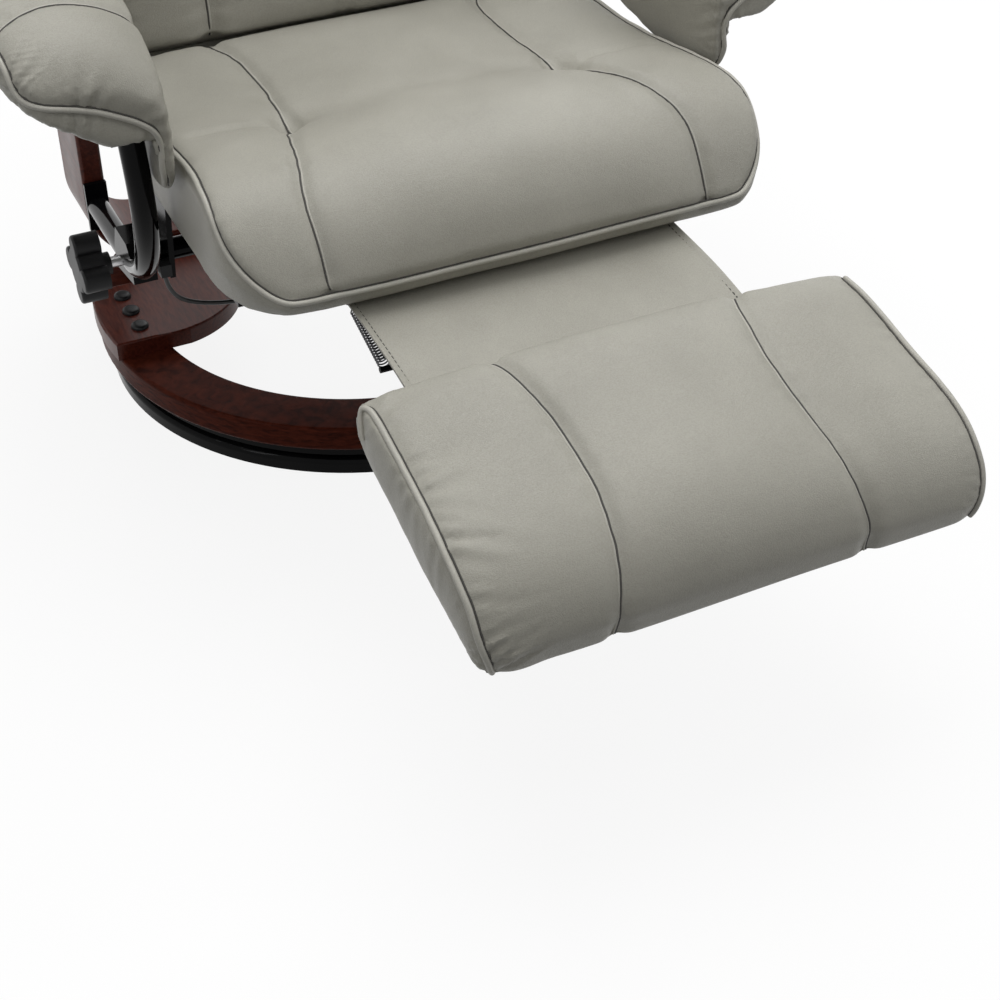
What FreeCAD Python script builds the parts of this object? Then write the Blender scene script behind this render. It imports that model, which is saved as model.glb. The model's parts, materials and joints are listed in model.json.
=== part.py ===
import FreeCAD, Part
import Sketcher
import math
import os
from FreeCAD import Vector, Placement, Rotation

# Swivel recliner: black floor ring, turning wood ring with two bent wooden uprights,
# steel arm tubes, flared arm pads, a tilting seat, a reclining back and a swing-out footrest.
# Frame: origin on the floor at the swivel axis, the sitter faces -Y, +X is the sitter's left, +Z is up.

doc = FreeCAD.newDocument("recliner")
sheet = doc.addObject("Spreadsheet::Sheet", "sizes")
row_number = 0


def put(alias, value):
    """One driving number in the sheet, under its own name."""
    global row_number
    row_number += 1
    cell = "A%d" % row_number
    sheet.set(cell, value if isinstance(value, str) else repr(value))
    sheet.setAlias(cell, alias)


# Lengths in millimetres, angles in degrees, shares and counts without a unit.
sizes = {
    # floor ring and swivel
    "ring_mid_radius": 280.0, "floor_ring_half_width": 19.0, "floor_ring_top": 18.0,
    "floor_ring_edge": 7.0, "glide_top": 21.5, "glide_width": 16.0,
    "glide_length": 30.0, "glide_count": 12,
    "swivel_ring_bottom": 22.0, "swivel_ring_half_width": 15.0,
    "ring_screw_radius": 2.5, "ring_screw_reach": 15.0, "ring_screw_count": 8,
    # wood ring
    "wood_ring_half_width": 30.0, "wood_ring_bottom": 38.0,
    "wood_ring_top": 67.0, "wood_ring_edge": 4.0,
    # foot plates
    "foot_plate_top": 88.0, "foot_plate_overhang": 4.0, "foot_plate_front": 49.0,
    "foot_plate_rear": 76.0, "foot_plate_inner_x": 210.0, "tongue_radius": 111.0, "tongue_center_x": 245.0,
    "tongue_center_y": 60.0, "limb_end_x": 134.0, "foot_plate_limb_rear": 232.0, "foot_plate_edge": 2.5,
    "foot_bolt_radius": 5.0, "foot_bolt_inset": 5.0, "foot_bolt_y": 13.0, "foot_bolt_pitch": 35.0,
    "foot_bolt_depth": 40.0, "bolt_cap_radius": 10.0, "bolt_cap_height": 6.0,
    # bent uprights
    "upright_outer_x": 285.0, "upright_thickness": 26.0, "upright_bend_radius": 78.0,
    "upright_front_y": 124.0, "upright_width": 103.0, "upright_top": 450.0, "upright_edge": 4.0,
    "limb_bolt_radius": 5.0, "limb_bolt_x": 170.0, "limb_bolt_spread": 50.0, "limb_bolt_head": 4.0,
    "limb_bolt_head_radius": 9.0,
    # arm tubes with their welded plates
    "arm_tube_radius": 12.5, "arm_tube_wall": 2.0,
    "tube_top_x": 312.0, "tube_top_y": -262.0, "tube_top_z": 450.0,
    "tube_corner_x": 298.0, "tube_corner_y": -249.5, "tube_corner_z": 250.0, "tube_bend_radius": 219.0,
    "tube_end_x": 272.0, "tube_end_y": 120.0, "tube_end_z": 171.0,
    "tube_flange_thickness": 6.0, "tube_flange_width": 26.0, "tube_flange_half_height": 30.0,
    "arm_plate_thickness": 5.0, "arm_plate_inner_x": 288.0, "arm_plate_outer_x": 336.0,
    "arm_plate_front_y": -288.0, "arm_plate_rear_y": -215.0,
    "gusset_inner_x": 272.0, "gusset_thickness": 26.0, "gusset_low": 26.0, "gusset_high": 29.0,
    "gusset_half_length": 34.0, "gusset_half_top": 20.0,
    "rear_bracket_inner_x": 262.0, "rear_bracket_outer_x": 345.0, "rear_bracket_inset": 6.0,
    # arm boards
    "arm_board_inner_x": 288.0, "arm_board_outer_x": 350.0, "arm_board_thickness": 18.0,
    "arm_board_front_y": -270.0, "arm_board_rear_y": 226.0, "arm_board_gap": 0.1,
    # tilt pivot and knobs
    "tilt_y": -95.0, "tilt_z": 221.0, "tilt_shaft_radius": 12.0, "running_gap": 0.05,
    "knob_rod_radius": 6.0, "knob_rod_inner_x": 250.0, "knob_rod_outer_x": 330.0,
    "knob_inner_x": 322.0, "knob_thickness": 28.0, "knob_edge": 3.0, "knob_lobe_radius": 13.0,
    "knob_lobe_circle": 27.0, "knob_core_radius": 25.0, "knob_hub_radius": 12.0, "knob_hub_length": 9.0,
    # seat frame
    "rail_outer_x": 250.0, "rail_width": 22.0, "rail_bottom": 290.0, "rail_top": 312.0,
    "rail_front_y": -345.0, "rail_rear_y": 72.0, "front_rail_y": -392.0, "front_rail_half": 158.0,
    "mid_rail_front_y": -150.0, "rear_rail_front_y": 20.0,
    "deck_top": 324.0, "deck_front_y": -415.0, "deck_rear_y": 0.0, "deck_half_width": 250.0,
    "deck_corner": 60.0,
    "pivot_plate_thickness": 6.0, "pivot_plate_half": 40.0, "pivot_plate_bottom": 200.0,
    # back hinge
    "hinge_y": 45.0, "hinge_z": 375.0, "hinge_plate_half": 24.0, "hinge_plate_thickness": 6.0,
    "hinge_pin_radius": 6.0, "hinge_pin_head": 4.0, "hinge_pin_head_radius": 10.0,
    # back, measured along its own slope
    "back_slope": 28.0, "post_gap": 4.0, "post_width": 22.0, "post_low": -14.0, "post_high": 672.0,
    "post_half_depth": 11.0, "back_low_rail": 40.0, "back_top_rail": 640.0,
    "shell_thickness": 14.0, "shell_low": -6.0, "shell_high": 690.0,
    # footrest linkage, forward and up measured from the floor origin
    "link_pivot_fore": 360.0, "link_pivot_up": 282.0, "knee_share": 0.551, "knee_drop": 21.0,
    "link_half_width": 11.0, "link_thickness": 6.0, "front_rail_lift": 4.0,
    "rear_link_inner_x": 118.0, "front_link_inner_x": 125.0, "link_pin_radius": 5.0,
    "link_pin_head": 2.5, "link_pin_head_radius": 8.0, "link_wash": 0.4,
    "link_plate_inner_x": 111.0, "link_plate_thickness": 6.5, "link_plate_rear_fore": 338.0,
    "link_plate_low": 264.0, "link_tie_radius": 7.0, "link_tie_share": 0.5,
    # footrest, in its own slope
    "pad_slope": -15.0, "pad_corner_fore": 606.0, "pad_corner_up": 300.0, "pad_pivot_along": 60.0,
    "pad_pivot_drop": 18.0, "bracket_rear_along": 40.0, "bracket_front_along": 215.0,
    "bracket_thickness": 6.0,
    "bracket_depth": 32.0, "footrest_board_thickness": 12.0,
    "footrest_board_front": 246.0, "footrest_board_rear": 10.0, "footrest_board_half_width": 222.0,
    # flap
    "flap_half_width": 172.0, "flap_thickness": 3.0, "flap_seat_up": 320.5, "flap_fold_reach": 25.0,
    "flap_fold_up": 320.0, "flap_mid_up": 314.5, "flap_tuck": 3.0, "flap_end_up": 304.0,
    # strip that closes the gap between seat and back
    "strip_half_width": 215.0, "strip_thickness": 2.0, "strip_drop": 6.0, "strip_back_depth": 24.0,
    "strip_clear": 1.2,
    # springs
    "spring_x": 146.0, "spring_wire_radius": 1.1, "spring_radius": 5.4, "spring_clear": 0.35,
    "spring_turns": 21.25, "spring_rear_fore": 381.0, "spring_rear_up": 281.0, "spring_stud_share": 0.592,
    "spring_stud_drop": 7.6, "spring_post_radius": 3.0,
    # release cable
    "cable_radius": 2.5, "cable_y": -122.0, "cable_clip_half": 7.0, "cable_clip_depth": 12.0,
    "cable_clip_top": 222.0, "cable_stop_half": 8.0,
    # seat and pad seams
    "seat_seam_x": 155.0, "pad_seam_x": 119.0, "back_seam_x": 150.0,
    # arm pad
    "arm_lip_thickness": 13.0,
    # Seat cushion sections from rear to front: place along Y, half width, underside, side seam, crown,
    # seam dip.
    "seat_1_y": -12.0, "seat_1_half": 264.0, "seat_1_low": 324.0, "seat_1_side": 396.0,
    "seat_1_crown": 405.0, "seat_1_dip": 2.0,
    "seat_2_y": -40.0, "seat_2_half": 270.0, "seat_2_low": 324.0, "seat_2_side": 399.0,
    "seat_2_crown": 409.0, "seat_2_dip": 6.0,
    "seat_3_y": -120.0, "seat_3_half": 272.0, "seat_3_low": 324.0, "seat_3_side": 404.0,
    "seat_3_crown": 413.0, "seat_3_dip": 9.0,
    "seat_4_y": -211.0, "seat_4_half": 273.0, "seat_4_low": 324.0, "seat_4_side": 412.0,
    "seat_4_crown": 420.0, "seat_4_dip": 12.0,
    "seat_5_y": -300.0, "seat_5_half": 274.0, "seat_5_low": 324.0, "seat_5_side": 424.0,
    "seat_5_crown": 436.0, "seat_5_dip": 9.0,
    "seat_6_y": -362.0, "seat_6_half": 278.0, "seat_6_low": 324.0, "seat_6_side": 425.0,
    "seat_6_crown": 439.0, "seat_6_dip": 8.0,
    "seat_7_y": -415.0, "seat_7_half": 273.0, "seat_7_low": 324.0, "seat_7_side": 397.0,
    "seat_7_crown": 422.0, "seat_7_dip": 8.0,
    "seat_8_y": -443.0, "seat_8_half": 255.0, "seat_8_low": 326.0, "seat_8_side": 363.0,
    "seat_8_crown": 393.0, "seat_8_dip": 7.0,
    "seat_9_y": -457.0, "seat_9_half": 239.0, "seat_9_low": 331.0, "seat_9_side": 350.0,
    "seat_9_crown": 362.0, "seat_9_dip": 3.0,
    # Footrest pad sections along its slope: place, half width, underside, side seam, crown, seam dip.
    "pad_1_along": 2.0, "pad_1_half": 235.0, "pad_1_low": 19.0, "pad_1_side": 56.0, "pad_1_crown": 70.0,
    "pad_1_dip": 3.0,
    "pad_2_along": 22.0, "pad_2_half": 240.0, "pad_2_low": 15.0, "pad_2_side": 63.0, "pad_2_crown": 79.0,
    "pad_2_dip": 6.0,
    "pad_3_along": 80.0, "pad_3_half": 241.0, "pad_3_low": 12.5, "pad_3_side": 68.0, "pad_3_crown": 87.0,
    "pad_3_dip": 9.0,
    "pad_4_along": 150.0, "pad_4_half": 242.0, "pad_4_low": 12.5, "pad_4_side": 71.0, "pad_4_crown": 91.0,
    "pad_4_dip": 10.0,
    "pad_5_along": 206.0, "pad_5_half": 241.0, "pad_5_low": 12.5, "pad_5_side": 67.0, "pad_5_crown": 85.0,
    "pad_5_dip": 9.0,
    "pad_6_along": 241.0, "pad_6_half": 237.0, "pad_6_low": 8.0, "pad_6_side": 49.0, "pad_6_crown": 63.0,
    "pad_6_dip": 6.0,
    "pad_7_along": 259.0, "pad_7_half": 228.0, "pad_7_low": 4.0, "pad_7_side": 26.0, "pad_7_crown": 34.0,
    "pad_7_dip": 2.0,
    # Back cushion sections up its slope: place, half width, rear, side seam, crown, seam dip.
    "back_1_along": 4.0, "back_1_half": 238.0, "back_1_low": 14.0, "back_1_side": 44.0,
    "back_1_crown": 54.0, "back_1_dip": 2.0,
    "back_2_along": 34.0, "back_2_half": 245.0, "back_2_low": 11.0, "back_2_side": 58.0,
    "back_2_crown": 76.0, "back_2_dip": 8.0,
    "back_3_along": 110.0, "back_3_half": 247.0, "back_3_low": 11.0, "back_3_side": 70.0,
    "back_3_crown": 94.0, "back_3_dip": 10.0,
    "back_4_along": 200.0, "back_4_half": 248.0, "back_4_low": 11.0, "back_4_side": 78.0,
    "back_4_crown": 104.0, "back_4_dip": 11.0,
    "back_5_along": 300.0, "back_5_half": 248.0, "back_5_low": 11.0, "back_5_side": 72.0,
    "back_5_crown": 98.0, "back_5_dip": 10.0,
    "back_6_along": 420.0, "back_6_half": 246.0, "back_6_low": 11.0, "back_6_side": 62.0,
    "back_6_crown": 86.0, "back_6_dip": 9.0,
    "back_7_along": 488.0, "back_7_half": 242.0, "back_7_low": 11.0, "back_7_side": 52.0,
    "back_7_crown": 72.0, "back_7_dip": 7.0,
    "back_8_along": 508.0, "back_8_half": 232.0, "back_8_low": 14.0, "back_8_side": 36.0,
    "back_8_crown": 46.0, "back_8_dip": 2.0,
    # Head pillow sections up the back's slope, in the same order.
    "head_1_along": 514.0, "head_1_half": 226.0, "head_1_low": 15.0, "head_1_side": 44.0,
    "head_1_crown": 56.0, "head_1_dip": 2.0,
    "head_2_along": 534.0, "head_2_half": 236.0, "head_2_low": 11.0, "head_2_side": 58.0,
    "head_2_crown": 82.0, "head_2_dip": 7.0,
    "head_3_along": 590.0, "head_3_half": 240.0, "head_3_low": 11.0, "head_3_side": 64.0,
    "head_3_crown": 98.0, "head_3_dip": 9.0,
    "head_4_along": 650.0, "head_4_half": 236.0, "head_4_low": 11.0, "head_4_side": 56.0,
    "head_4_crown": 84.0, "head_4_dip": 7.0,
    "head_5_along": 682.0, "head_5_half": 222.0, "head_5_low": 6.0, "head_5_side": 34.0,
    "head_5_crown": 52.0, "head_5_dip": 4.0,
    "head_6_along": 698.0, "head_6_half": 206.0, "head_6_low": 1.0, "head_6_side": 16.0,
    "head_6_crown": 26.0, "head_6_dip": 1.0,
    # Arm pad sections from front to rear: place along Y, inner wall, foot of the wall, flat underside,
    # its edge, outer lip bottom and top (across, up), crown, inner top edge.
    "arm_1_y": -309.0, "arm_1_wall": 289.0, "arm_1_foot": 424.0, "arm_1_flat": 460.0, "arm_1_bend": 336.0,
    "arm_1_lipx": 376.0, "arm_1_lipz": 484.0, "arm_1_outx": 386.0, "arm_1_outz": 511.0,
    "arm_1_crown": 512.0, "arm_1_edge": 484.0,
    "arm_2_y": -294.0, "arm_2_wall": 283.5, "arm_2_foot": 402.0, "arm_2_flat": 456.0, "arm_2_bend": 344.0,
    "arm_2_lipx": 397.0, "arm_2_lipz": 492.0, "arm_2_outx": 408.0, "arm_2_outz": 529.0,
    "arm_2_crown": 536.0, "arm_2_edge": 499.0,
    "arm_3_y": -264.0, "arm_3_wall": 282.0, "arm_3_foot": 393.0, "arm_3_flat": 455.0, "arm_3_bend": 350.0,
    "arm_3_lipx": 408.0, "arm_3_lipz": 498.0, "arm_3_outx": 418.0, "arm_3_outz": 545.0,
    "arm_3_crown": 556.0, "arm_3_edge": 516.0,
    "arm_4_y": -170.0, "arm_4_wall": 281.5, "arm_4_foot": 402.0, "arm_4_flat": 455.0, "arm_4_bend": 352.0,
    "arm_4_lipx": 410.0, "arm_4_lipz": 500.0, "arm_4_outx": 420.0, "arm_4_outz": 552.0,
    "arm_4_crown": 568.0, "arm_4_edge": 542.0,
    "arm_5_y": 0.0, "arm_5_wall": 281.5, "arm_5_foot": 421.0, "arm_5_flat": 455.0, "arm_5_bend": 352.0,
    "arm_5_lipx": 410.0, "arm_5_lipz": 500.0, "arm_5_outx": 420.0, "arm_5_outz": 556.0,
    "arm_5_crown": 574.0, "arm_5_edge": 552.0,
    "arm_6_y": 150.0, "arm_6_wall": 282.0, "arm_6_foot": 423.0, "arm_6_flat": 455.0, "arm_6_bend": 351.0,
    "arm_6_lipx": 408.0, "arm_6_lipz": 500.0, "arm_6_outx": 418.0, "arm_6_outz": 553.0,
    "arm_6_crown": 570.0, "arm_6_edge": 548.0,
    "arm_7_y": 215.0, "arm_7_wall": 286.0, "arm_7_foot": 430.0, "arm_7_flat": 455.0, "arm_7_bend": 348.0,
    "arm_7_lipx": 402.0, "arm_7_lipz": 500.0, "arm_7_outx": 410.0, "arm_7_outz": 546.0,
    "arm_7_crown": 560.0, "arm_7_edge": 536.0,
    "arm_8_y": 236.0, "arm_8_wall": 300.0, "arm_8_foot": 452.0, "arm_8_flat": 462.0, "arm_8_bend": 346.0,
    "arm_8_lipx": 386.0, "arm_8_lipz": 502.0, "arm_8_outx": 392.0, "arm_8_outz": 528.0,
    "arm_8_crown": 536.0, "arm_8_edge": 516.0,
    # Release cable route in its plane across the chair: across, up.
    "route_1_x": -263.0, "route_1_z": 216.0,
    "route_2_x": -263.0, "route_2_z": 186.0,
    "route_3_x": -232.0, "route_3_z": 162.0,
    "route_4_x": -160.0, "route_4_z": 150.0,
    "route_5_x": -98.0, "route_5_z": 168.0,
    "route_6_x": -76.0, "route_6_z": 206.0,
    # shares
    "half_share": 0.5, "pivot_taper_share": 0.6, "hinge_taper_share": 0.7, "shell_lap_share": 0.4,
    # cut overrun
    "over": 5.0,
}
for alias, value in sizes.items():
    put(alias, value)


# Sizes that follow from others, so that pieces that meet keep together.
derived = {
    "floor_ring_outer_radius": "ring_mid_radius + floor_ring_half_width",
    "floor_ring_inner_radius": "ring_mid_radius - floor_ring_half_width",
    "glide_inner_radius": "ring_mid_radius - half_share * glide_width",
    "swivel_ring_outer_radius": "ring_mid_radius + swivel_ring_half_width",
    "swivel_ring_inner_radius": "ring_mid_radius - swivel_ring_half_width",
    "wood_ring_outer_radius": "ring_mid_radius + wood_ring_half_width",
    "wood_ring_inner_radius": "ring_mid_radius - wood_ring_half_width",
    "ring_screw_circle": "ring_mid_radius",
    "foot_plate_outer_radius": "wood_ring_outer_radius + foot_plate_overhang",
    "foot_bolt_x": "ring_mid_radius - foot_bolt_inset",
    "post_outer_x": "rail_outer_x - post_gap",
    "shell_half_width": "post_outer_x",
    "flap_seat_fore": "-deck_front_y",
    "flap_fold_fore": "flap_seat_fore + flap_fold_reach",
    "flap_end_fore": "pad_corner_fore + flap_tuck",
    "flap_mid_fore": "half_share * (flap_fold_fore + flap_end_fore)",
}
for alias, rule in derived.items():
    put(alias, "=" + rule)

# Padded pieces and the cable: name in the sheet, columns, number of sections.
seat_table = ("seat", ("y", "half", "low", "side", "crown", "dip"), 9)
pad_table = ("pad", ("along", "half", "low", "side", "crown", "dip"), 7)
back_table = ("back", ("along", "half", "low", "side", "crown", "dip"), 8)
head_table = ("head", ("along", "half", "low", "side", "crown", "dip"), 6)
arm_table = ("arm", ("y", "wall", "foot", "flat", "bend", "lipx", "lipz", "outx", "outz", "crown",
                      "edge"), 8)
cable_table = ("route", ("x", "z"), 6)

doc.recompute()


def s(alias):
    """A named size as a plain number."""
    return float(sheet.get(alias))


def rows(made):
    name, columns, count = made
    found = []
    for i in range(count):
        found.append({column: s("%s_%d_%s" % (name, i + 1, column)) for column in columns})
    return found


def named(text):
    """Names in a short formula written as links to the sheet."""
    words = []
    word = ""
    for sign in text + " ":
        if sign.isalnum() or sign == "_":
            word += sign
        else:
            if word:
                words.append("sizes." + word if word in sizes or word in derived else word)
            words.append(sign)
            word = ""
    return "".join(words).strip()


nodes = {}
helper_count = 0


def helper(kind):
    global helper_count
    helper_count += 1
    return doc.addObject(kind, "shape_%d" % helper_count)


def node(label, made):
    """Register a finished sub-part under its file name."""
    made.Label = label
    nodes[label] = made
    return made


def box(x_low, x_high, y_low, y_high, z_low, z_high):
    made = helper("Part::Box")
    made.setExpression("Length", named("(%s) - (%s)" % (x_high, x_low)))
    made.setExpression("Width", named("(%s) - (%s)" % (y_high, y_low)))
    made.setExpression("Height", named("(%s) - (%s)" % (z_high, z_low)))
    made.setExpression("Placement.Base.x", named(x_low))
    made.setExpression("Placement.Base.y", named(y_low))
    made.setExpression("Placement.Base.z", named(z_low))
    return made


def rod(axis, x, y, z, radius, length):
    """A cylinder that starts at a point and runs along one axis."""
    made = helper("Part::Cylinder")
    made.setExpression("Radius", named(radius))
    made.setExpression("Height", named(length))
    turns = {"x": Rotation(Vector(0, 1, 0), 90), "z": Rotation()}
    made.Placement = Placement(Vector(), turns[axis])
    made.setExpression("Placement.Base.x", named(x))
    made.setExpression("Placement.Base.y", named(y))
    made.setExpression("Placement.Base.z", named(z))
    return made


def fuse(*parts):
    made = helper("Part::MultiFuse")
    made.Shapes = list(parts)
    made.Refine = True
    return made


def common(first, second):
    made = helper("Part::Common")
    made.Base = first
    made.Tool = second
    return made


def cut(first, *tools):
    for tool in tools:
        made = helper("Part::Cut")
        made.Base = first
        made.Tool = tool
        first = made
    return first


def rounded(made, radius, chosen):
    """The same piece with the chosen edges rounded over."""
    doc.recompute()
    soft = helper("Part::Fillet")
    soft.Base = made
    size = s(radius)
    soft.Edges = [(i + 1, size, size) for i, edge in enumerate(made.Shape.Edges) if chosen(edge.BoundBox)]
    return soft


def mirrored(label, source):
    made = helper("Part::Mirroring")
    made.Source = source
    made.Normal = Vector(1, 0, 0)
    return node(label, made)


def pair(name, made):
    """The sitter's right piece as made, and its mirror image on the sitter's left."""
    node("right_" + name, made)
    mirrored("left_" + name, made)


def feature(shape, placement=None):
    made = helper("Part::Feature")
    made.Shape = shape
    if placement is not None:
        made.Placement = placement
    return made


def plate(points, x_low, thickness):
    """A flat plate across the chair from its side outline, each corner bound to the sheet."""
    body = helper("PartDesign::Body")
    sketch = body.newObject("Sketcher::SketchObject", body.Name + "_outline")
    plane = [o for o in body.Origin.OriginFeatures if o.Name.startswith("YZ_Plane")][0]
    sketch.AttachmentSupport = [(plane, "")]
    sketch.MapMode = "FlatFace"
    sketch.setExpression("AttachmentOffset.Base.z", named(x_low))
    values = []
    for along, up in points:
        values.append((formula(along), formula(up)))
    count = len(values)
    for i in range(count):
        here = Vector(values[i][0], values[i][1], 0)
        there = Vector(values[(i + 1) % count][0], values[(i + 1) % count][1], 0)
        sketch.addGeometry(Part.LineSegment(here, there), False)
    for i in range(count):
        sketch.addConstraint(Sketcher.Constraint("Coincident", i, 2, (i + 1) % count, 1))
    for i in range(count):
        across = sketch.addConstraint(Sketcher.Constraint("DistanceX", -1, 1, i, 1, values[i][0]))
        upward = sketch.addConstraint(Sketcher.Constraint("DistanceY", -1, 1, i, 1, values[i][1]))
        sketch.setExpression("Constraints[%d]" % across, named(points[i][0]))
        sketch.setExpression("Constraints[%d]" % upward, named(points[i][1]))
    pad = body.newObject("PartDesign::Pad", body.Name + "_pad")
    pad.Profile = sketch
    pad.setExpression("Length", named(thickness))
    sketch.Visibility = False
    return body


def formula(text):
    """The value of a short formula, worked out in a spare sheet cell."""
    spare.set("A1", "=" + named(text))
    doc.recompute([spare])
    return float(spare.get("A1"))


spare = doc.addObject("Spreadsheet::Sheet", "spare")


def wire(start, steps):
    """A closed outline from straight lines and arcs through a middle point."""
    edges = []
    here = start
    for step in steps:
        if len(step) == 1:
            edges.append(Part.LineSegment(here, step[0]).toShape())
        else:
            edges.append(Part.Arc(here, step[0], step[1]).toShape())
        here = step[-1]
    return Part.Wire(edges)


half_share = s("half_share")
seat_bulge_share = 0.03
back_bulge_share = 0.05
pad_bulge_share = 0.16


def cushion_wire(row, seam, spot, bulge_share):
    """One cross-section of a padded piece: flat underside, drawn-in sides, crown with two seams."""
    half, low, side, crown = row["half"], row["low"], row["side"], row["crown"]
    dip = crown - row["dip"]
    bulge = bulge_share * (side - low)
    shoulder = half_share * (half + seam)
    rise = half_share * (side + dip) + half_share * (crown - dip)
    middle = half_share * (low + side)
    return wire(spot(-half, low), [
        (spot(half, low),),
        (spot(half + bulge, middle), spot(half, side)),
        (spot(shoulder, rise), spot(seam, dip)),
        (spot(0, crown), spot(-seam, dip)),
        (spot(-shoulder, rise), spot(-half, side)),
        (spot(-half - bulge, middle), spot(-half, low)),
    ])


def loft(wires):
    solid = Part.makeLoft(wires, True, False)
    if solid.Volume < 0:
        solid = solid.reversed()
    return solid


# Floor ring with its glide blocks, which stay on the floor.
ring = cut(rod("z", "0", "0", "0", "floor_ring_outer_radius", "floor_ring_top"),
           rod("z", "0", "0", "-over", "floor_ring_inner_radius", "floor_ring_top + 2 * over"))
node("floor_ring", rounded(ring, "floor_ring_edge", lambda edge: edge.XLength > s("ring_mid_radius")
                            and edge.ZMin > half_share * s("floor_ring_top")))
blocks = []
for i in range(int(s("glide_count"))):
    block = Part.makeBox(s("glide_width"), s("glide_length"), s("glide_top") - s("floor_ring_top"),
                         Vector(s("glide_inner_radius"), -half_share * s("glide_length"),
                                s("floor_ring_top")))
    blocks.append(block.rotate(Vector(), Vector(0, 0, 1), 360.0 * i / s("glide_count")))
node("glide_blocks", feature(Part.makeCompound(blocks)))

# Turning ring: steel race and laminated wood ring.
screws = []
for i in range(int(s("ring_screw_count"))):
    angle = 2 * math.pi * (i + half_share) / s("ring_screw_count")
    spot = Vector(s("ring_screw_circle") * math.cos(angle), s("ring_screw_circle") * math.sin(angle),
                  s("swivel_ring_bottom"))
    screws.append(Part.makeCylinder(s("ring_screw_radius"), s("wood_ring_bottom") - s("swivel_ring_bottom")
                                    + s("ring_screw_reach"), spot))
screw_group = node("ring_screws", feature(Part.makeCompound(screws)))
node("swivel_ring", cut(rod("z", "0", "0", "swivel_ring_bottom", "swivel_ring_outer_radius",
                            "wood_ring_bottom - swivel_ring_bottom"),
                        rod("z", "0", "0", "swivel_ring_bottom - over", "swivel_ring_inner_radius",
                            "wood_ring_bottom - swivel_ring_bottom + 2 * over"), screw_group))
wood = cut(rod("z", "0", "0", "wood_ring_bottom", "wood_ring_outer_radius",
               "wood_ring_top - wood_ring_bottom"),
           rod("z", "0", "0", "wood_ring_bottom - over", "wood_ring_inner_radius",
               "wood_ring_top - wood_ring_bottom + 2 * over"))
wood_round = rounded(wood, "wood_ring_edge", lambda edge: edge.XLength > s("ring_mid_radius"))

# Foot bolts go through the plates into the wood ring, each under a domed cap.
bolts = []
caps = []
for side in (-1, 1):
    for step in (-1, 0, 1):
        spot = Vector(side * s("foot_bolt_x"), s("foot_bolt_y") + step * s("foot_bolt_pitch"),
                      s("foot_plate_top"))
        bolts.append(Part.makeCylinder(s("foot_bolt_radius"), s("foot_bolt_depth"), spot, Vector(0, 0, -1)))
        radius, height = s("bolt_cap_radius"), s("bolt_cap_height")
        dome = (radius * radius + height * height) / (2 * height)
        ball = Part.makeSphere(dome, spot + Vector(0, 0, height - dome))
        keep = Part.makeBox(4 * dome, 4 * dome, 4 * dome, spot - Vector(2 * dome, 2 * dome, 0))
        caps.append(ball.common(keep))
bolt_group = node("foot_bolts", feature(Part.makeCompound(bolts)))
node("bolt_caps", feature(Part.makeCompound(caps)))
node("wood_ring", cut(wood_round, screw_group, bolt_group))

# Foot plate: outer edge follows the ring, half-round tongue inside, rear arm under the upright.
disc = common(rod("z", "0", "0", "wood_ring_top", "foot_plate_outer_radius",
                  "foot_plate_top - wood_ring_top"),
              box("-foot_plate_outer_radius - over", "-tongue_center_x", "-foot_plate_front",
                  "foot_plate_rear",
                  "wood_ring_top", "foot_plate_top"))
tongue = common(rod("z", "-tongue_center_x", "tongue_center_y", "wood_ring_top", "tongue_radius",
                    "foot_plate_top - wood_ring_top"),
                box("-tongue_center_x", "over - tongue_center_x + tongue_radius", "-foot_plate_front",
                    "tongue_center_y + tongue_radius", "wood_ring_top", "foot_plate_top"))
carrier = box("-foot_plate_inner_x", "-limb_end_x", "tongue_center_y", "foot_plate_limb_rear",
              "wood_ring_top", "foot_plate_top")
limb_bolts = []
for side in (-1, 1):
    for step in (-1, 1):
        middle = s("upright_front_y") + half_share * s("upright_width")
        spot = Vector(side * s("limb_bolt_x"), middle + step * half_share * s("limb_bolt_spread"),
                      s("wood_ring_top"))
        reach = s("foot_plate_top") - s("wood_ring_top") + s("upright_thickness")
        stem = Part.makeCylinder(s("limb_bolt_radius"), reach, spot)
        head = Part.makeCylinder(s("limb_bolt_head_radius"), s("limb_bolt_head"), spot + Vector(0, 0, reach))
        limb_bolts.append(stem.fuse(head).removeSplitter())
limb_group = node("limb_bolts", feature(Part.makeCompound(limb_bolts)))
slack = s("running_gap")
foot = rounded(fuse(disc, tongue, carrier), "foot_plate_edge",
               lambda edge: edge.ZMin > s("foot_plate_top") - slack)
pair("foot_plate", cut(foot, bolt_group, limb_group))

# Upright: a bent laminated board, standing on the foot plate with its turned-in limb.
stem = box("-upright_outer_x", "upright_thickness - upright_outer_x", "upright_front_y",
           "upright_front_y + upright_width", "foot_plate_top + upright_bend_radius", "upright_top")
limb = box("upright_bend_radius - upright_outer_x", "-limb_end_x", "upright_front_y",
           "upright_front_y + upright_width", "foot_plate_top", "foot_plate_top + upright_thickness")
center = Vector(s("upright_bend_radius") - s("upright_outer_x"), s("upright_front_y"),
                s("foot_plate_top") + s("upright_bend_radius"))
bend_outer = s("upright_bend_radius")
bend_inner = bend_outer - s("upright_thickness")
quarter = math.sqrt(half_share)
bend = Part.Face(wire(center + Vector(-bend_outer, 0, 0), [
    (center + Vector(-quarter * bend_outer, 0, -quarter * bend_outer), center + Vector(0, 0, -bend_outer)),
    (center + Vector(0, 0, -bend_inner),),
    (center + Vector(-quarter * bend_inner, 0, -quarter * bend_inner), center + Vector(-bend_inner, 0, 0)),
    (center + Vector(-bend_outer, 0, 0),),
])).extrude(Vector(0, s("upright_width"), 0))
board_side = rounded(fuse(stem, limb, feature(bend)), "upright_edge",
                     lambda edge: edge.YLength < slack and edge.ZMin < s("upright_top") - slack
                     and edge.XMin < -s("limb_end_x") - slack)
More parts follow.
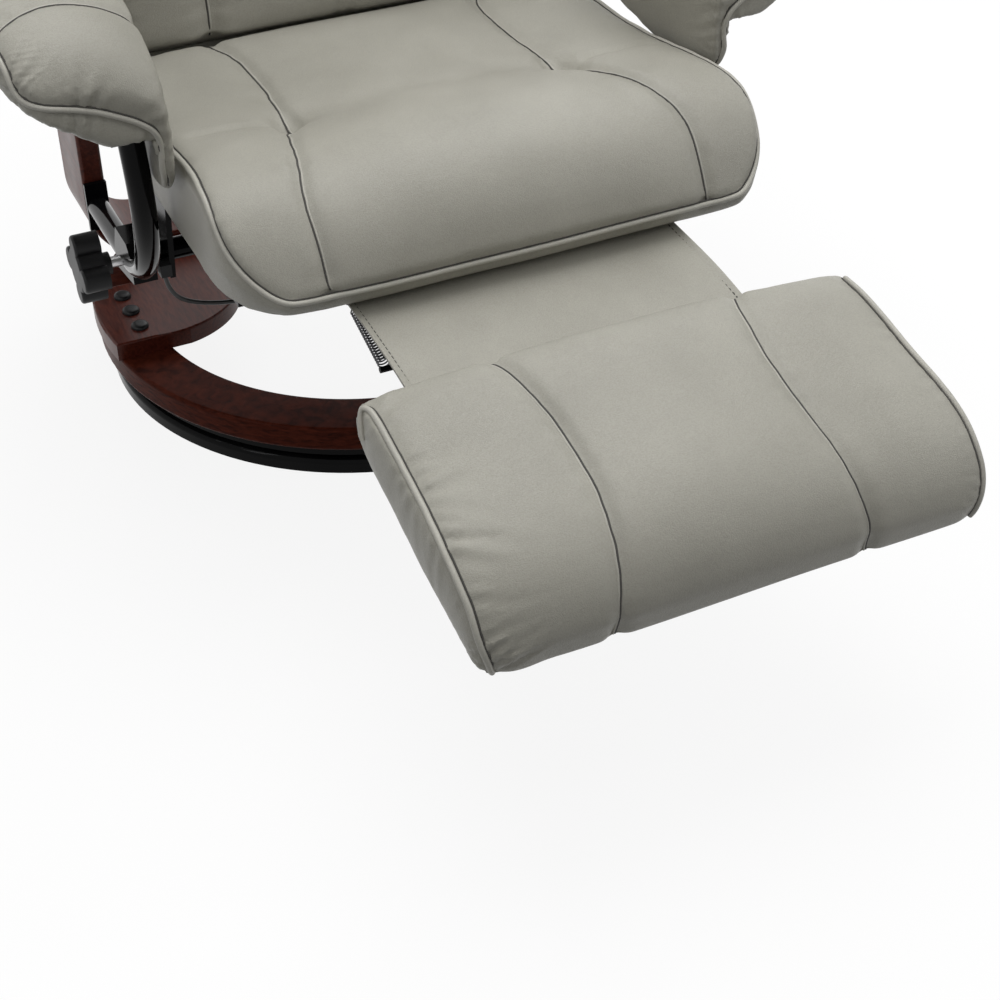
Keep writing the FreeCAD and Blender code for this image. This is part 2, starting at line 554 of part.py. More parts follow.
pair("upright", cut(board_side, limb_group))

# Arm tube: one bent steel tube, with the flange, the gusset and the arm plate welded on.


def bent_path(points, radius):
    """Straight runs joined by one tangent arc at each inner point."""
    edges = []
    here = points[0]
    for i in range(1, len(points) - 1):
        back = (points[i - 1] - points[i]).normalize()
        ahead = (points[i + 1] - points[i]).normalize()
        turn = math.pi - math.acos(max(-1, min(1, back.dot(ahead))))
        bend_radius = radius if radius else route_radius(points, i, turn)
        reach = bend_radius * math.tan(half_share * turn)
        start = points[i] + back * reach
        stop = points[i] + ahead * reach
        toward = (back + ahead).normalize()
        middle = points[i] + toward * (bend_radius / math.cos(half_share * turn) - bend_radius)
        edges.append(Part.LineSegment(here, start).toShape())
        edges.append(Part.Arc(start, middle, stop).toShape())
        here = stop
    edges.append(Part.LineSegment(here, points[-1]).toShape())
    return Part.Wire(edges)


route_share = 0.45
radii = []


def route_radius(points, i, turn):
    shorter = min((points[i] - points[i - 1]).Length, (points[i + 1] - points[i]).Length)
    radii.append(route_share * shorter / math.tan(half_share * turn))
    return radii[-1]


def swept(path, radius):
    first = path.Edges[0]
    start = first.valueAt(first.FirstParameter)
    along = first.tangentAt(first.FirstParameter)
    ring_wire = Part.Wire(Part.makeCircle(radius, start, along))
    return path.makePipeShell([ring_wire], True, False)


tube_points = [Vector(-s("tube_top_x"), s("tube_top_y"), s("tube_top_z")),
               Vector(-s("tube_corner_x"), s("tube_corner_y"), s("tube_corner_z")),
               Vector(-s("tube_end_x"), s("tube_end_y"), s("tube_end_z"))]
tube_path = bent_path(tube_points, s("tube_bend_radius"))
tube = swept(tube_path, s("arm_tube_radius"))
hollow = swept(tube_path, s("arm_tube_radius") - s("arm_tube_wall"))
flange = box("-tube_end_x - half_share * tube_flange_width", "-tube_end_x + half_share * tube_flange_width",
             "upright_front_y - tube_flange_thickness", "upright_front_y",
             "tube_end_z - tube_flange_half_height", "tube_end_z + tube_flange_half_height")
arm_plate = box("-arm_plate_outer_x", "-arm_plate_inner_x", "arm_plate_front_y", "arm_plate_rear_y",
                "upright_top", "upright_top + arm_plate_thickness")
gusset = plate([("tilt_y - gusset_half_length", "tilt_z - half_share * gusset_low"),
                ("tilt_y + gusset_half_length", "tilt_z - gusset_low"),
                ("tilt_y + gusset_half_length", "tilt_z"),
                ("tilt_y + gusset_half_top", "tilt_z + gusset_high"),
                ("tilt_y - gusset_half_top", "tilt_z + gusset_high"),
                ("tilt_y - gusset_half_length", "tilt_z + half_share * gusset_high")],
               "-gusset_inner_x - gusset_thickness", "gusset_thickness")
weldment = fuse(feature(tube.cut(hollow)), flange, arm_plate, gusset)
weldment.Refine = False
pair("arm_tube", cut(weldment, rod("x", "-gusset_inner_x - gusset_thickness - over", "tilt_y", "tilt_z",
                                   "knob_rod_radius + running_gap", "gusset_thickness + 2 * over")))
pair("arm_bracket", box("-rear_bracket_outer_x", "-rear_bracket_inner_x",
                        "upright_front_y + rear_bracket_inset",
                        "upright_front_y + upright_width - rear_bracket_inset", "upright_top",
                        "upright_top + arm_plate_thickness"))

# Arms: plywood board let into the underside of a flared, padded arm.
board = box("-arm_board_outer_x", "-arm_board_inner_x", "arm_board_front_y", "arm_board_rear_y",
            "upright_top + arm_plate_thickness", "upright_top + arm_plate_thickness + arm_board_thickness")
pair("arm_board", board)


def arm_wire(row):
    def spot(x, z):
        return Vector(-x, row["y"], z)
    wall_mid = half_share * (row["foot"] + row["edge"])
    top_mid = half_share * (row["wall"] + row["outx"])
    lip = s("arm_lip_thickness")
    return wire(spot(row["wall"], row["foot"]), [
        (spot(row["wall"] - wall_bulge_share * lip, wall_mid), spot(row["wall"], row["edge"])),
        (spot(top_mid, row["crown"]), spot(row["outx"], row["outz"])),
        (spot(row["outx"] + wall_bulge_share * lip, half_share * (row["outz"] + row["lipz"])),
         spot(row["lipx"], row["lipz"])),
        (spot(row["bend"], row["flat"]),),
        (spot(row["wall"] + lip, row["flat"]),),
        (spot(row["wall"] + lip, row["foot"] + half_share * lip),),
        (spot(row["wall"] + half_share * lip, row["foot"] - foot_round_share * lip),
         spot(row["wall"], row["foot"])),
    ])


wall_bulge_share = 0.2
foot_round_share = 0.1
arm_solid = loft([arm_wire(row) for row in rows(arm_table)])
pocket = box("-arm_board_outer_x - arm_board_gap", "arm_board_gap - arm_board_inner_x",
             "arm_board_front_y - arm_board_gap", "arm_board_rear_y + arm_board_gap",
             "upright_top + arm_plate_thickness - over",
             "upright_top + arm_plate_thickness + arm_board_thickness")
rear_clear = box("-rear_bracket_outer_x - over", "over - rear_bracket_inner_x", "upright_front_y - over",
                 "upright_front_y + upright_width + over", "upright_top - 8 * over",
                 "upright_top + arm_plate_thickness")
front_clear = box("-arm_plate_outer_x - over", "arm_board_gap - arm_plate_inner_x",
                  "arm_plate_front_y - 4 * over",
                  "arm_plate_rear_y + over", "upright_top - over", "upright_top + arm_plate_thickness")
pair("arm_pad", cut(feature(arm_solid), pocket, rear_clear, front_clear))

# Tilt shaft across the chair and the two clamp knobs on their threaded rods.
node("tilt_shaft", cut(rod("x", "-gusset_inner_x", "tilt_y", "tilt_z", "tilt_shaft_radius",
                           "2 * gusset_inner_x"),
                       rod("x", "-gusset_inner_x - over", "tilt_y", "tilt_z",
                           "knob_rod_radius + running_gap",
                           "gusset_inner_x - knob_rod_inner_x + 2 * over"),
                       rod("x", "knob_rod_inner_x - over", "tilt_y", "tilt_z",
                           "knob_rod_radius + running_gap",
                           "gusset_inner_x - knob_rod_inner_x + 2 * over")))
pair("knob_rod", rod("x", "-knob_rod_outer_x", "tilt_y", "tilt_z", "knob_rod_radius",
                     "knob_rod_outer_x - knob_rod_inner_x"))
lobes = [rod("x", "-knob_inner_x - knob_thickness", "tilt_y", "tilt_z", "knob_core_radius",
             "knob_thickness"),
         rod("x", "-knob_inner_x", "tilt_y", "tilt_z", "knob_hub_radius", "knob_hub_length")]
for turn in ("0", "90", "180", "270"):
    lobes.append(rod("x", "-knob_inner_x - knob_thickness",
                     "tilt_y + knob_lobe_circle * cos(%s deg)" % turn,
                     "tilt_z + knob_lobe_circle * sin(%s deg)" % turn, "knob_lobe_radius", "knob_thickness"))
grip = rounded(fuse(*lobes), "knob_edge",
               lambda edge: edge.XMax < slack - s("knob_inner_x") - s("knob_thickness"))
pair("knob", cut(grip, rod("x", "-knob_rod_outer_x", "tilt_y", "tilt_z", "knob_rod_radius",
                                   "knob_rod_outer_x - knob_inner_x + knob_hub_length + over")))

# Seat frame: side rails, cross rails, deck, pivot plates and hinge plates.
pair("seat_rail", box("-rail_outer_x", "rail_width - rail_outer_x", "rail_front_y", "rail_rear_y",
                      "rail_bottom", "rail_top"))
posts = []
for side in ("-", ""):
    posts.append(rod("z", side + "spring_x", "-spring_rear_fore", "spring_rear_up - 2 * spring_wire_radius",
                     "spring_post_radius", "rail_top - spring_rear_up"))
front_bar = box("-front_rail_half", "front_rail_half", "front_rail_y", "front_rail_y + rail_width",
                "rail_bottom + front_rail_lift", "rail_top")
node("front_cross_rail", fuse(front_bar, *posts))
for label, front in (("middle_cross_rail", "mid_rail_front_y"), ("rear_cross_rail", "rear_rail_front_y")):
    node(label, box("rail_width - rail_outer_x", "rail_outer_x - rail_width", front, front + " + rail_width",
                    "rail_bottom", "rail_top"))
deck_board = box("-deck_half_width", "deck_half_width", "deck_front_y", "deck_rear_y", "rail_top",
                 "deck_top")
deck = node("seat_deck", rounded(deck_board, "deck_corner", lambda edge: edge.XLength < slack
                                 and edge.YMax < s("deck_front_y") + slack))
pivot_plate = plate([("tilt_y - pivot_plate_half", "rail_top"),
                     ("tilt_y - pivot_taper_share * pivot_plate_half", "pivot_plate_bottom"),
                     ("tilt_y + pivot_taper_share * pivot_plate_half", "pivot_plate_bottom"),
                     ("tilt_y + pivot_plate_half", "rail_top")],
                    "-rail_outer_x - pivot_plate_thickness", "pivot_plate_thickness")
pair("pivot_plate", cut(pivot_plate, rod("x", "-rail_outer_x - pivot_plate_thickness - over", "tilt_y",
                                         "tilt_z",
                                         "tilt_shaft_radius + running_gap",
                                         "pivot_plate_thickness + 2 * over")))
hinge_plate = plate([("hinge_y - hinge_plate_half", "rail_bottom"),
                     ("hinge_y + hinge_plate_half", "rail_bottom"),
                     ("hinge_y + hinge_taper_share * hinge_plate_half",
                      "hinge_z + hinge_taper_share * hinge_plate_half"),
                     ("hinge_y - hinge_taper_share * hinge_plate_half",
                      "hinge_z + hinge_taper_share * hinge_plate_half")],
                    "-rail_outer_x - hinge_plate_thickness", "hinge_plate_thickness")
pair("hinge_plate", cut(hinge_plate, rod("x", "-rail_outer_x - hinge_plate_thickness - over", "hinge_y",
                                         "hinge_z",
                                         "hinge_pin_radius + running_gap",
                                         "hinge_plate_thickness + 2 * over")))
seat_wires = [cushion_wire(row, s("seat_seam_x"), lambda x, z, y=row["y"]: Vector(x, y, z),
                          seat_bulge_share)
              for row in rows(seat_table)]
node("seat_cushion", cut(feature(loft(seat_wires)), deck))

# Back: everything is set out upright about its hinge, then leaned back.
lean = Placement(Vector(0, s("hinge_y"), s("hinge_z")), Rotation(Vector(1, 0, 0), -s("back_slope")))


post = helper("Part::MultiFuse")
post.Shapes = [box("-post_outer_x", "post_width - post_outer_x", "-post_half_depth", "post_half_depth",
                   "post_low",
                   "post_high"),
               rod("x", "-rail_outer_x - hinge_plate_thickness - link_wash", "0", "0", "hinge_pin_radius",
                   "rail_outer_x + hinge_plate_thickness + link_wash - post_outer_x + over"),
               rod("x", "-rail_outer_x - hinge_plate_thickness - link_wash - hinge_pin_head", "0", "0",
                   "hinge_pin_head_radius", "hinge_pin_head")]
post.Refine = True
post.Placement = lean
node("right_back_post", post)
mirrored("left_back_post", post)
for label, low in (("back_low_rail", "back_low_rail"), ("back_top_rail", "back_top_rail")):
    rail = helper("Part::MultiFuse")
    strip = box("post_width - post_outer_x", "post_outer_x - post_width", "-post_half_depth", "0", low,
                low + " + post_half_depth")
    rest = box("post_width - post_outer_x", "post_outer_x - post_width", "-over", "post_half_depth", low,
               low + " + post_half_depth")
    rail.Shapes = [strip, rest]
    rail.Refine = True
    rail.Placement = lean
    node(label, rail)
shell = helper("Part::MultiFuse")
shell.Shapes = [box("-shell_half_width", "shell_half_width", "post_half_depth",
                    "post_half_depth + half_share * shell_thickness", "shell_low", "shell_high"),
                box("over - shell_half_width", "shell_half_width - over",
                    "post_half_depth + shell_lap_share * shell_thickness",
                    "post_half_depth + shell_thickness",
                    "shell_low + over", "shell_high - over")]
shell.Refine = True
shell.Placement = lean
node("back_shell", shell)
for label, made in (("back_cushion", back_table), ("head_pillow", head_table)):
    wires = [cushion_wire(row, s("back_seam_x"), lambda x, v, u=row["along"]: Vector(x, -v, u),
                          back_bulge_share)
             for row in rows(made)]
    padded = feature(loft(wires))
    padded.Placement = lean
    node(label, cut(padded, nodes["right_back_post"], nodes["left_back_post"], nodes["back_low_rail"],
                    nodes["back_top_rail"]))

# Leather strip from the deck's rear edge to the underside of the back cushion.
strip_low = Vector(-s("strip_half_width"), s("deck_rear_y") + s("running_gap"),
                   s("deck_top") - s("strip_drop"))
strip_high = lean.multVec(Vector(-s("strip_half_width"), -s("strip_back_depth"), s("back_1_along")))
strip_way = (strip_high - strip_low).normalize()
strip_top = strip_high - strip_way * s("strip_clear")
strip_deep = Vector(0, strip_way.z, -strip_way.y) * s("strip_thickness")
strip_face = Part.Face(Part.makePolygon([strip_low, strip_top, strip_top + strip_deep,
                                         strip_low + strip_deep,
                                         strip_low]))
node("gap_strip", feature(strip_face.extrude(Vector(2 * s("strip_half_width"), 0, 0))))

# Footrest linkage: plates under the seat, two links each side, brackets under the footrest board.


def forward(f, u, x=0.0):
    return Vector(x, -f, u)


def sloped(f, u, degrees):
    return Vector(0, -f * math.cos(math.radians(degrees)) + u * math.sin(math.radians(degrees)),
                  f * math.sin(math.radians(degrees)) + u * math.cos(math.radians(degrees)))


def below(first, second):
    """The unit direction square to a line between two pivots, on its lower side."""
    along = (second - first).normalize()
    return Vector(0, -along.z, along.y)


corner = forward(s("pad_corner_fore"), s("pad_corner_up"))
pivot_a = forward(s("link_pivot_fore"), s("link_pivot_up"))
pivot_c = corner + sloped(s("pad_pivot_along"), -s("pad_pivot_drop"), s("pad_slope"))
pivot_b = pivot_a + (pivot_c - pivot_a) * s("knee_share") + below(pivot_a, pivot_c) * s("knee_drop")
print("links mm", round((pivot_b - pivot_a).Length, 2), round((pivot_c - pivot_b).Length, 2))
for title, spot in (("pivot a", pivot_a), ("pivot b", pivot_b), ("pivot c", pivot_c)):
    print(title, [round(c, 3) for c in spot])


def link_shape(first, second, x_low, bores):
    """A flat bar with round ends between two pivots, drilled at the ones that run on a pin."""
    half, thick = s("link_half_width"), s("link_thickness")
    along = (second - first).normalize()
    across = Vector(0, -along.z, along.y)
    base = Vector(x_low, 0, 0)
    outline = wire(base + first + across * half, [
        (base + first - along * half, base + first - across * half),
        (base + second - across * half,),
        (base + second + along * half, base + second + across * half),
        (base + first + across * half,),
    ])
    solid = Part.Face(outline).extrude(Vector(thick, 0, 0))
    for spot, radius in bores:
        solid = solid.cut(Part.makeCylinder(radius, thick + 2 * s("over"),
                                            base + spot - Vector(s("over"), 0, 0), Vector(1, 0, 0)))
    return solid


def pin(x_low, x_high, spot, head_at):
    """A pivot pin across the links, with one flat head."""
    stem = Part.makeCylinder(s("link_pin_radius"), x_high - x_low, Vector(x_low, 0, 0) + spot,
                             Vector(1, 0, 0))
    head_low = x_low - s("link_pin_head") if head_at == "low" else x_high
    head = Part.makeCylinder(s("link_pin_head_radius"), s("link_pin_head"), Vector(head_low, 0, 0) + spot,
                             Vector(1, 0, 0))
    return stem.fuse(head)


bore = s("link_pin_radius") + s("running_gap")
rear_low = -s("rear_link_inner_x") - s("link_thickness")
front_low = -s("front_link_inner_x") - s("link_thickness")
plate_low = -s("link_plate_inner_x") - s("link_plate_thickness")
plate_points = [("-link_plate_rear_fore", "rail_top"), ("-link_plate_rear_fore", "link_plate_low"),
                ("-link_pivot_fore - 2 * link_half_width", "link_plate_low"),
                ("front_rail_y + rail_width", "rail_bottom - over"),
                ("front_rail_y + rail_width", "rail_top")]
link_plate = plate(plate_points, "-link_plate_inner_x - link_plate_thickness", "link_plate_thickness")
plate_pin = pin(rear_low - s("link_wash"), plate_low + s("link_plate_thickness") * half_share, pivot_a,
                "low")
pair("link_plate", fuse(link_plate, feature(plate_pin)))
rear_link = link_shape(pivot_a, pivot_b, rear_low, [(pivot_a, bore)])
rear_pin = pin(front_low - s("link_wash"), rear_low + s("link_thickness") * half_share, pivot_b, "low")
front_post_at = pivot_a + (pivot_b - pivot_a) * s("spring_stud_share")
front_post_at += below(pivot_a, pivot_b) * s("spring_stud_drop")
stud_end_x = s("spring_x") + s("spring_radius") + s("spring_wire_radius")
stud = Part.makeCylinder(s("spring_post_radius"),
                         stud_end_x - s("rear_link_inner_x") - s("link_thickness")
                         * half_share, Vector(-stud_end_x, 0, 0) + front_post_at, Vector(1, 0, 0))
pair("rear_link", feature(rear_link.fuse([rear_pin, stud]).removeSplitter()))
tie_at = pivot_a + (pivot_b - pivot_a) * s("link_tie_share")
node("link_tie", feature(Part.makeCylinder(s("link_tie_radius"), 2 * s("rear_link_inner_x"),
                                           Vector(-s("rear_link_inner_x"), 0, 0) + tie_at, Vector(1, 0, 0))))
front_link = link_shape(pivot_b, pivot_c, front_low, [(pivot_b, bore)])
bracket_low = -s("rear_link_inner_x") - s("bracket_thickness")
front_pin = pin(front_low + s("link_thickness") * half_share, bracket_low + s("bracket_thickness")
                + s("link_wash"), pivot_c, "high")
pair("front_link", feature(front_link.fuse(front_pin).removeSplitter()))

# Footrest brackets, board and pad, set out along the footrest's slope.


def on_pad(along, up, x=0.0):
    return corner + sloped(along, up, s("pad_slope")) + Vector(x, 0, 0)


drop = s("pad_pivot_drop")
depth = s("bracket_depth")
bracket_face = Part.Face(Part.makePolygon([
    on_pad(s("bracket_rear_along"), 0, bracket_low), on_pad(s("bracket_front_along"), 0, bracket_low),
    on_pad(s("pad_pivot_along") + depth, -half_share * drop, bracket_low),
    on_pad(s("pad_pivot_along") + half_share * depth, -depth, bracket_low),
    on_pad(s("pad_pivot_along") - half_share * depth, -depth, bracket_low),
    on_pad(s("bracket_rear_along"), -half_share * drop, bracket_low),
    on_pad(s("bracket_rear_along"), 0, bracket_low)]))
bracket = bracket_face.extrude(Vector(s("bracket_thickness"), 0, 0))
bracket = bracket.cut(Part.makeCylinder(bore, s("bracket_thickness") + 2 * s("over"),
                                        pivot_c + Vector(bracket_low - s("over"), 0, 0), Vector(1, 0, 0)))
pair("footrest_bracket", feature(bracket))
board_half = s("footrest_board_half_width")
board_face = Part.Face(Part.makePolygon([
    on_pad(s("footrest_board_rear"), 0, -board_half), on_pad(s("footrest_board_front"), 0, -board_half),
    on_pad(s("footrest_board_front"), s("footrest_board_thickness"), -board_half),
    on_pad(s("footrest_board_rear"), s("footrest_board_thickness"), -board_half),
    on_pad(s("footrest_board_rear"), 0, -board_half)]))
footrest_board = feature(board_face.extrude(Vector(2 * board_half, 0, 0)))
node("footrest_board", footrest_board)
pad_wires = [cushion_wire(row, s("pad_seam_x"), lambda x, n, a=row["along"]: on_pad(a, n, x),
                          pad_bulge_share)
             for row in rows(pad_table)]
node("footrest_pad", cut(feature(loft(pad_wires)), footrest_board))

# Flap: a leather apron from the seat front to the rear of the footrest.
flap_top = [(s("flap_seat_fore"), s("flap_seat_up")), (s("flap_fold_fore"), s("flap_fold_up")),
            (s("flap_mid_fore"), s("flap_mid_up")), (s("flap_end_fore"), s("flap_end_up"))]
thin = s("flap_thickness")
outline = [forward(f, u, -s("flap_half_width")) for f, u in flap_top]
outline += [forward(f, u - thin, -s("flap_half_width")) for f, u in reversed(flap_top)]
flap_face = Part.Face(Part.makePolygon(outline + outline[:1]))
node("flap", feature(flap_face.extrude(Vector(2 * s("flap_half_width"), 0, 0))))

# Springs: one unbroken coil with a straight tail at each end, between the seat post and the link stud.
start = forward(s("spring_rear_fore"), s("spring_rear_up"), -s("spring_x"))
stop = front_post_at + Vector(-s("spring_x"), 0, 0)
axis = (stop - start).normalize()
side_way = Vector(1, 0, 0)
up_way = axis.cross(side_way).normalize()
touch = s("spring_post_radius") + s("spring_wire_radius")
lead = (touch - s("spring_radius") * abs(up_way.y)) / abs(axis.y)
pitch = ((stop - start).Length - lead - touch - s("spring_clear")) / s("spring_turns")
coil_start = start + axis * lead
phase_share = 0.25


def coil_spot(turn):
    angle = 2 * math.pi * (turn + phase_share)
    return (coil_start + axis * (pitch * turn)
            + side_way * (s("spring_radius") * math.cos(angle))
            + up_way * (s("spring_radius") * math.sin(angle)))


quarter_turns = 4
coil_edges = []
for i in range(int(s("spring_turns") * quarter_turns)):
    first = coil_spot(i / quarter_turns)
    between = coil_spot((i + half_share) / quarter_turns)
    last = coil_spot((i + 1) / quarter_turns)
    coil_edges.append(Part.Arc(first, between, last).toShape())
coil_path = Part.Wire(coil_edges)
coil = swept(coil_path, s("spring_wire_radius"))
print("spring least gap between turns mm", round(pitch - 2 * s("spring_wire_radius"), 3))
print("coil volume against wire",
      round(coil.Volume / (math.pi * s("spring_wire_radius") ** 2 * coil_path.Length), 4))
pair("spring", feature(coil))

# Release cable: from a clip on the pivot plate, hanging, to a stop under the middle cross rail.
route = [Vector(row["x"], s("cable_y"), row["z"]) for row in rows(cable_table)]
cable_path = bent_path(route, 0)
cable = swept(cable_path, s("cable_radius"))
print("cable bend radii mm", [round(r, 1) for r in radii])
print("cable volume against section",
      round(cable.Volume / (math.pi * s("cable_radius") ** 2 * cable_path.Length), 4))
release_cable = node("release_cable", feature(cable))
half_clip = s("cable_clip_half")
clip = Part.makeBox(s("cable_clip_depth"), 2 * half_clip, 2 * half_clip,
                    Vector(-s("rail_outer_x") - s("pivot_plate_thickness") - s("cable_clip_depth"),
                           s("cable_y") - half_clip, s("cable_clip_top") - 2 * half_clip))
half_stop = s("cable_stop_half")
stop_low = route[-1].z - half_stop
stop_block = Part.makeBox(2 * half_stop, 2 * half_stop, s("rail_bottom") - stop_low,
                          Vector(route[-1].x - half_stop, s("cable_y") - half_stop, stop_low))
node("cable_holders", cut(feature(Part.makeCompound([clip, stop_block])), release_cable))

doc.recompute()
os.makedirs("parts", exist_ok=True)
total = 0
for label, made in nodes.items():
    state = [word for word in made.State if word not in ("Up-to-date", "Touched")]
    shape = made.Shape
    if state or shape.isNull() or not shape.isValid() or not shape.Solids:
        raise RuntimeError("bad sub-part " + label + " " + str(state))
    volumes = [solid.Volume for solid in shape.Solids]
    if min(volumes) <= 0:
        raise RuntimeError("inside-out solid in " + label)
    total += sum(volumes)
    shape.exportStep("parts/" + label + ".step")
    limits = shape.optimalBoundingBox()
    print(label, len(volumes), [round(c, 1) for c in (limits.XMin, limits.XMax, limits.YMin, limits.YMax,
                                                     limits.ZMin, limits.ZMax)])
print("sub-parts", len(nodes), "volume litres", round(total / 1e6, 2))
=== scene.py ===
# %% [markdown]
# # Dressing a swivel recliner
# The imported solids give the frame: a floor ring, a turning wooden base, steel tubes and
# linkage. This lesson keeps those that look right, gives them real finishes, and replaces
# every padded solid with stuffed leather.

# %% Load the frame
import json
import math
import bpy
import numpy as np
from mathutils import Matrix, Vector, noise
from mathutils.bvhtree import BVHTree


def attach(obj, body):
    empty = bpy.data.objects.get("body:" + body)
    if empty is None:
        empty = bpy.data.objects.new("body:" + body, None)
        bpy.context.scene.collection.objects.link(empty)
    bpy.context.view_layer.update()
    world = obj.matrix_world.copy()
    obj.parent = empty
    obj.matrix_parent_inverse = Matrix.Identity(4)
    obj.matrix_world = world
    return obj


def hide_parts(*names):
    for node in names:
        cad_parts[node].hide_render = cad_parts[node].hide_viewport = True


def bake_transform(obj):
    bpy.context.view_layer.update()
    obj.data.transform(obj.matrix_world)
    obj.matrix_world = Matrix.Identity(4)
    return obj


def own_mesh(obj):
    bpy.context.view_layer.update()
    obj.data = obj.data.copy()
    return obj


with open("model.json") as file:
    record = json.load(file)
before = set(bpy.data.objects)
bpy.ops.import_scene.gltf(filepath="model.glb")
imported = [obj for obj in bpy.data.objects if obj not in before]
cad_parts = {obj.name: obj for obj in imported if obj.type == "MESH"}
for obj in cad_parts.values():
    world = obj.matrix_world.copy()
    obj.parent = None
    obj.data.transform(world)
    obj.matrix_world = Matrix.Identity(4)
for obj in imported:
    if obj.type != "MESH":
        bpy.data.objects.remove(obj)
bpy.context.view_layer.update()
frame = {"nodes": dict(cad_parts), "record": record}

# %% [markdown]
# The camera comes first, so that every piece can be compared with the photograph. It stands
# to the sitter's right, well above the seat, and its lens takes in the footrest whole.

# %% Camera
MM = 0.001
CAMERA_AZIMUTH = math.radians(-25.63)
CAMERA_ELEVATION = math.radians(38.30)
CAMERA_PLACE = Vector((-659.2, -1771.7, 1212.8)) * MM
looking_back = Vector((math.sin(CAMERA_AZIMUTH) * math.cos(CAMERA_ELEVATION),
                       -math.cos(CAMERA_AZIMUTH) * math.cos(CAMERA_ELEVATION), math.sin(CAMERA_ELEVATION)))
bpy.ops.object.camera_add(location=CAMERA_PLACE)
camera = bpy.context.object
camera.rotation_euler = (-looking_back).to_track_quat("-Z", "Y").to_euler()
camera.data.sensor_width = 36.0
camera.data.lens = 65.23
bpy.context.scene.camera = camera
print("camera at", [round(c, 3) for c in CAMERA_PLACE])

# %% [markdown]
# The release cable is a thin sheathed wire. It leaves a clip on the pivot plate beside the
# seat, hangs down and goes back up into a stop under the seat. A NURBS curve through its
# few route points hangs as such a wire does. Its finish follows further down.

# %% Release cable
CABLE_ROUTE = [(-263, -122, 216), (-263, -122, 186), (-232, -122, 162), (-160, -122, 150), (-98, -122, 168),
               (-76, -122, 206)]
CABLE_DIAMETER = 5.0 * MM
cable_curve = bpy.data.curves.new("release_cable_sheath", "CURVE")
cable_curve.dimensions = "3D"
cable_line = cable_curve.splines.new("NURBS")
cable_line.points.add(len(CABLE_ROUTE) - 1)
for spot, place in zip(cable_line.points, CABLE_ROUTE):
    spot.co = (*(Vector(place) * MM), 1.0)
cable_line.order_u = 3
cable_line.use_endpoint_u = True
cable_line.resolution_u = 16
cable = bpy.data.objects.new("release_cable_sheath", cable_curve)
bpy.context.scene.collection.objects.link(cable)
cable_path = [v.co.copy() for v in bpy.data.meshes.new_from_object(cable).vertices]
cable_curve.bevel_depth = CABLE_DIAMETER / 2
cable_curve.bevel_resolution = 5
cable_curve.use_fill_caps = True
bpy.ops.object.select_all(action="DESELECT")
cable.select_set(True)
bpy.context.view_layer.objects.active = cable
bpy.ops.object.convert(target="MESH")
cable = bpy.context.object
bpy.ops.object.shade_smooth()
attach(cable, "seat")
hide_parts("release_cable")

# %% [markdown]
# Leather, lacquer and black paint all need fine surface variation. Each effect that more
# than one finish uses is a node group with named sockets, built once.

# %% Node group helper


def new_group(name, inputs, outputs):
    group = bpy.data.node_groups.new(name, "ShaderNodeTree")
    for label, kind, value in inputs:
        made = group.interface.new_socket(name=label, in_out="INPUT", socket_type=kind)
        made.default_value = value
    for label, kind in outputs:
        group.interface.new_socket(name=label, in_out="OUTPUT", socket_type=kind)
    entry = group.nodes.new("NodeGroupInput")
    leave = group.nodes.new("NodeGroupOutput")
    return group, entry, leave

# %% [markdown]
# Grained leather is covered in small soft pebbles with fine creases between them, and the
# hide changes its tone slowly. A picture of leather could be wrapped round the part. The
# cells of a Voronoi pattern, bent a little by noise, need no picture and no unwrapping.

# %% Leather grain


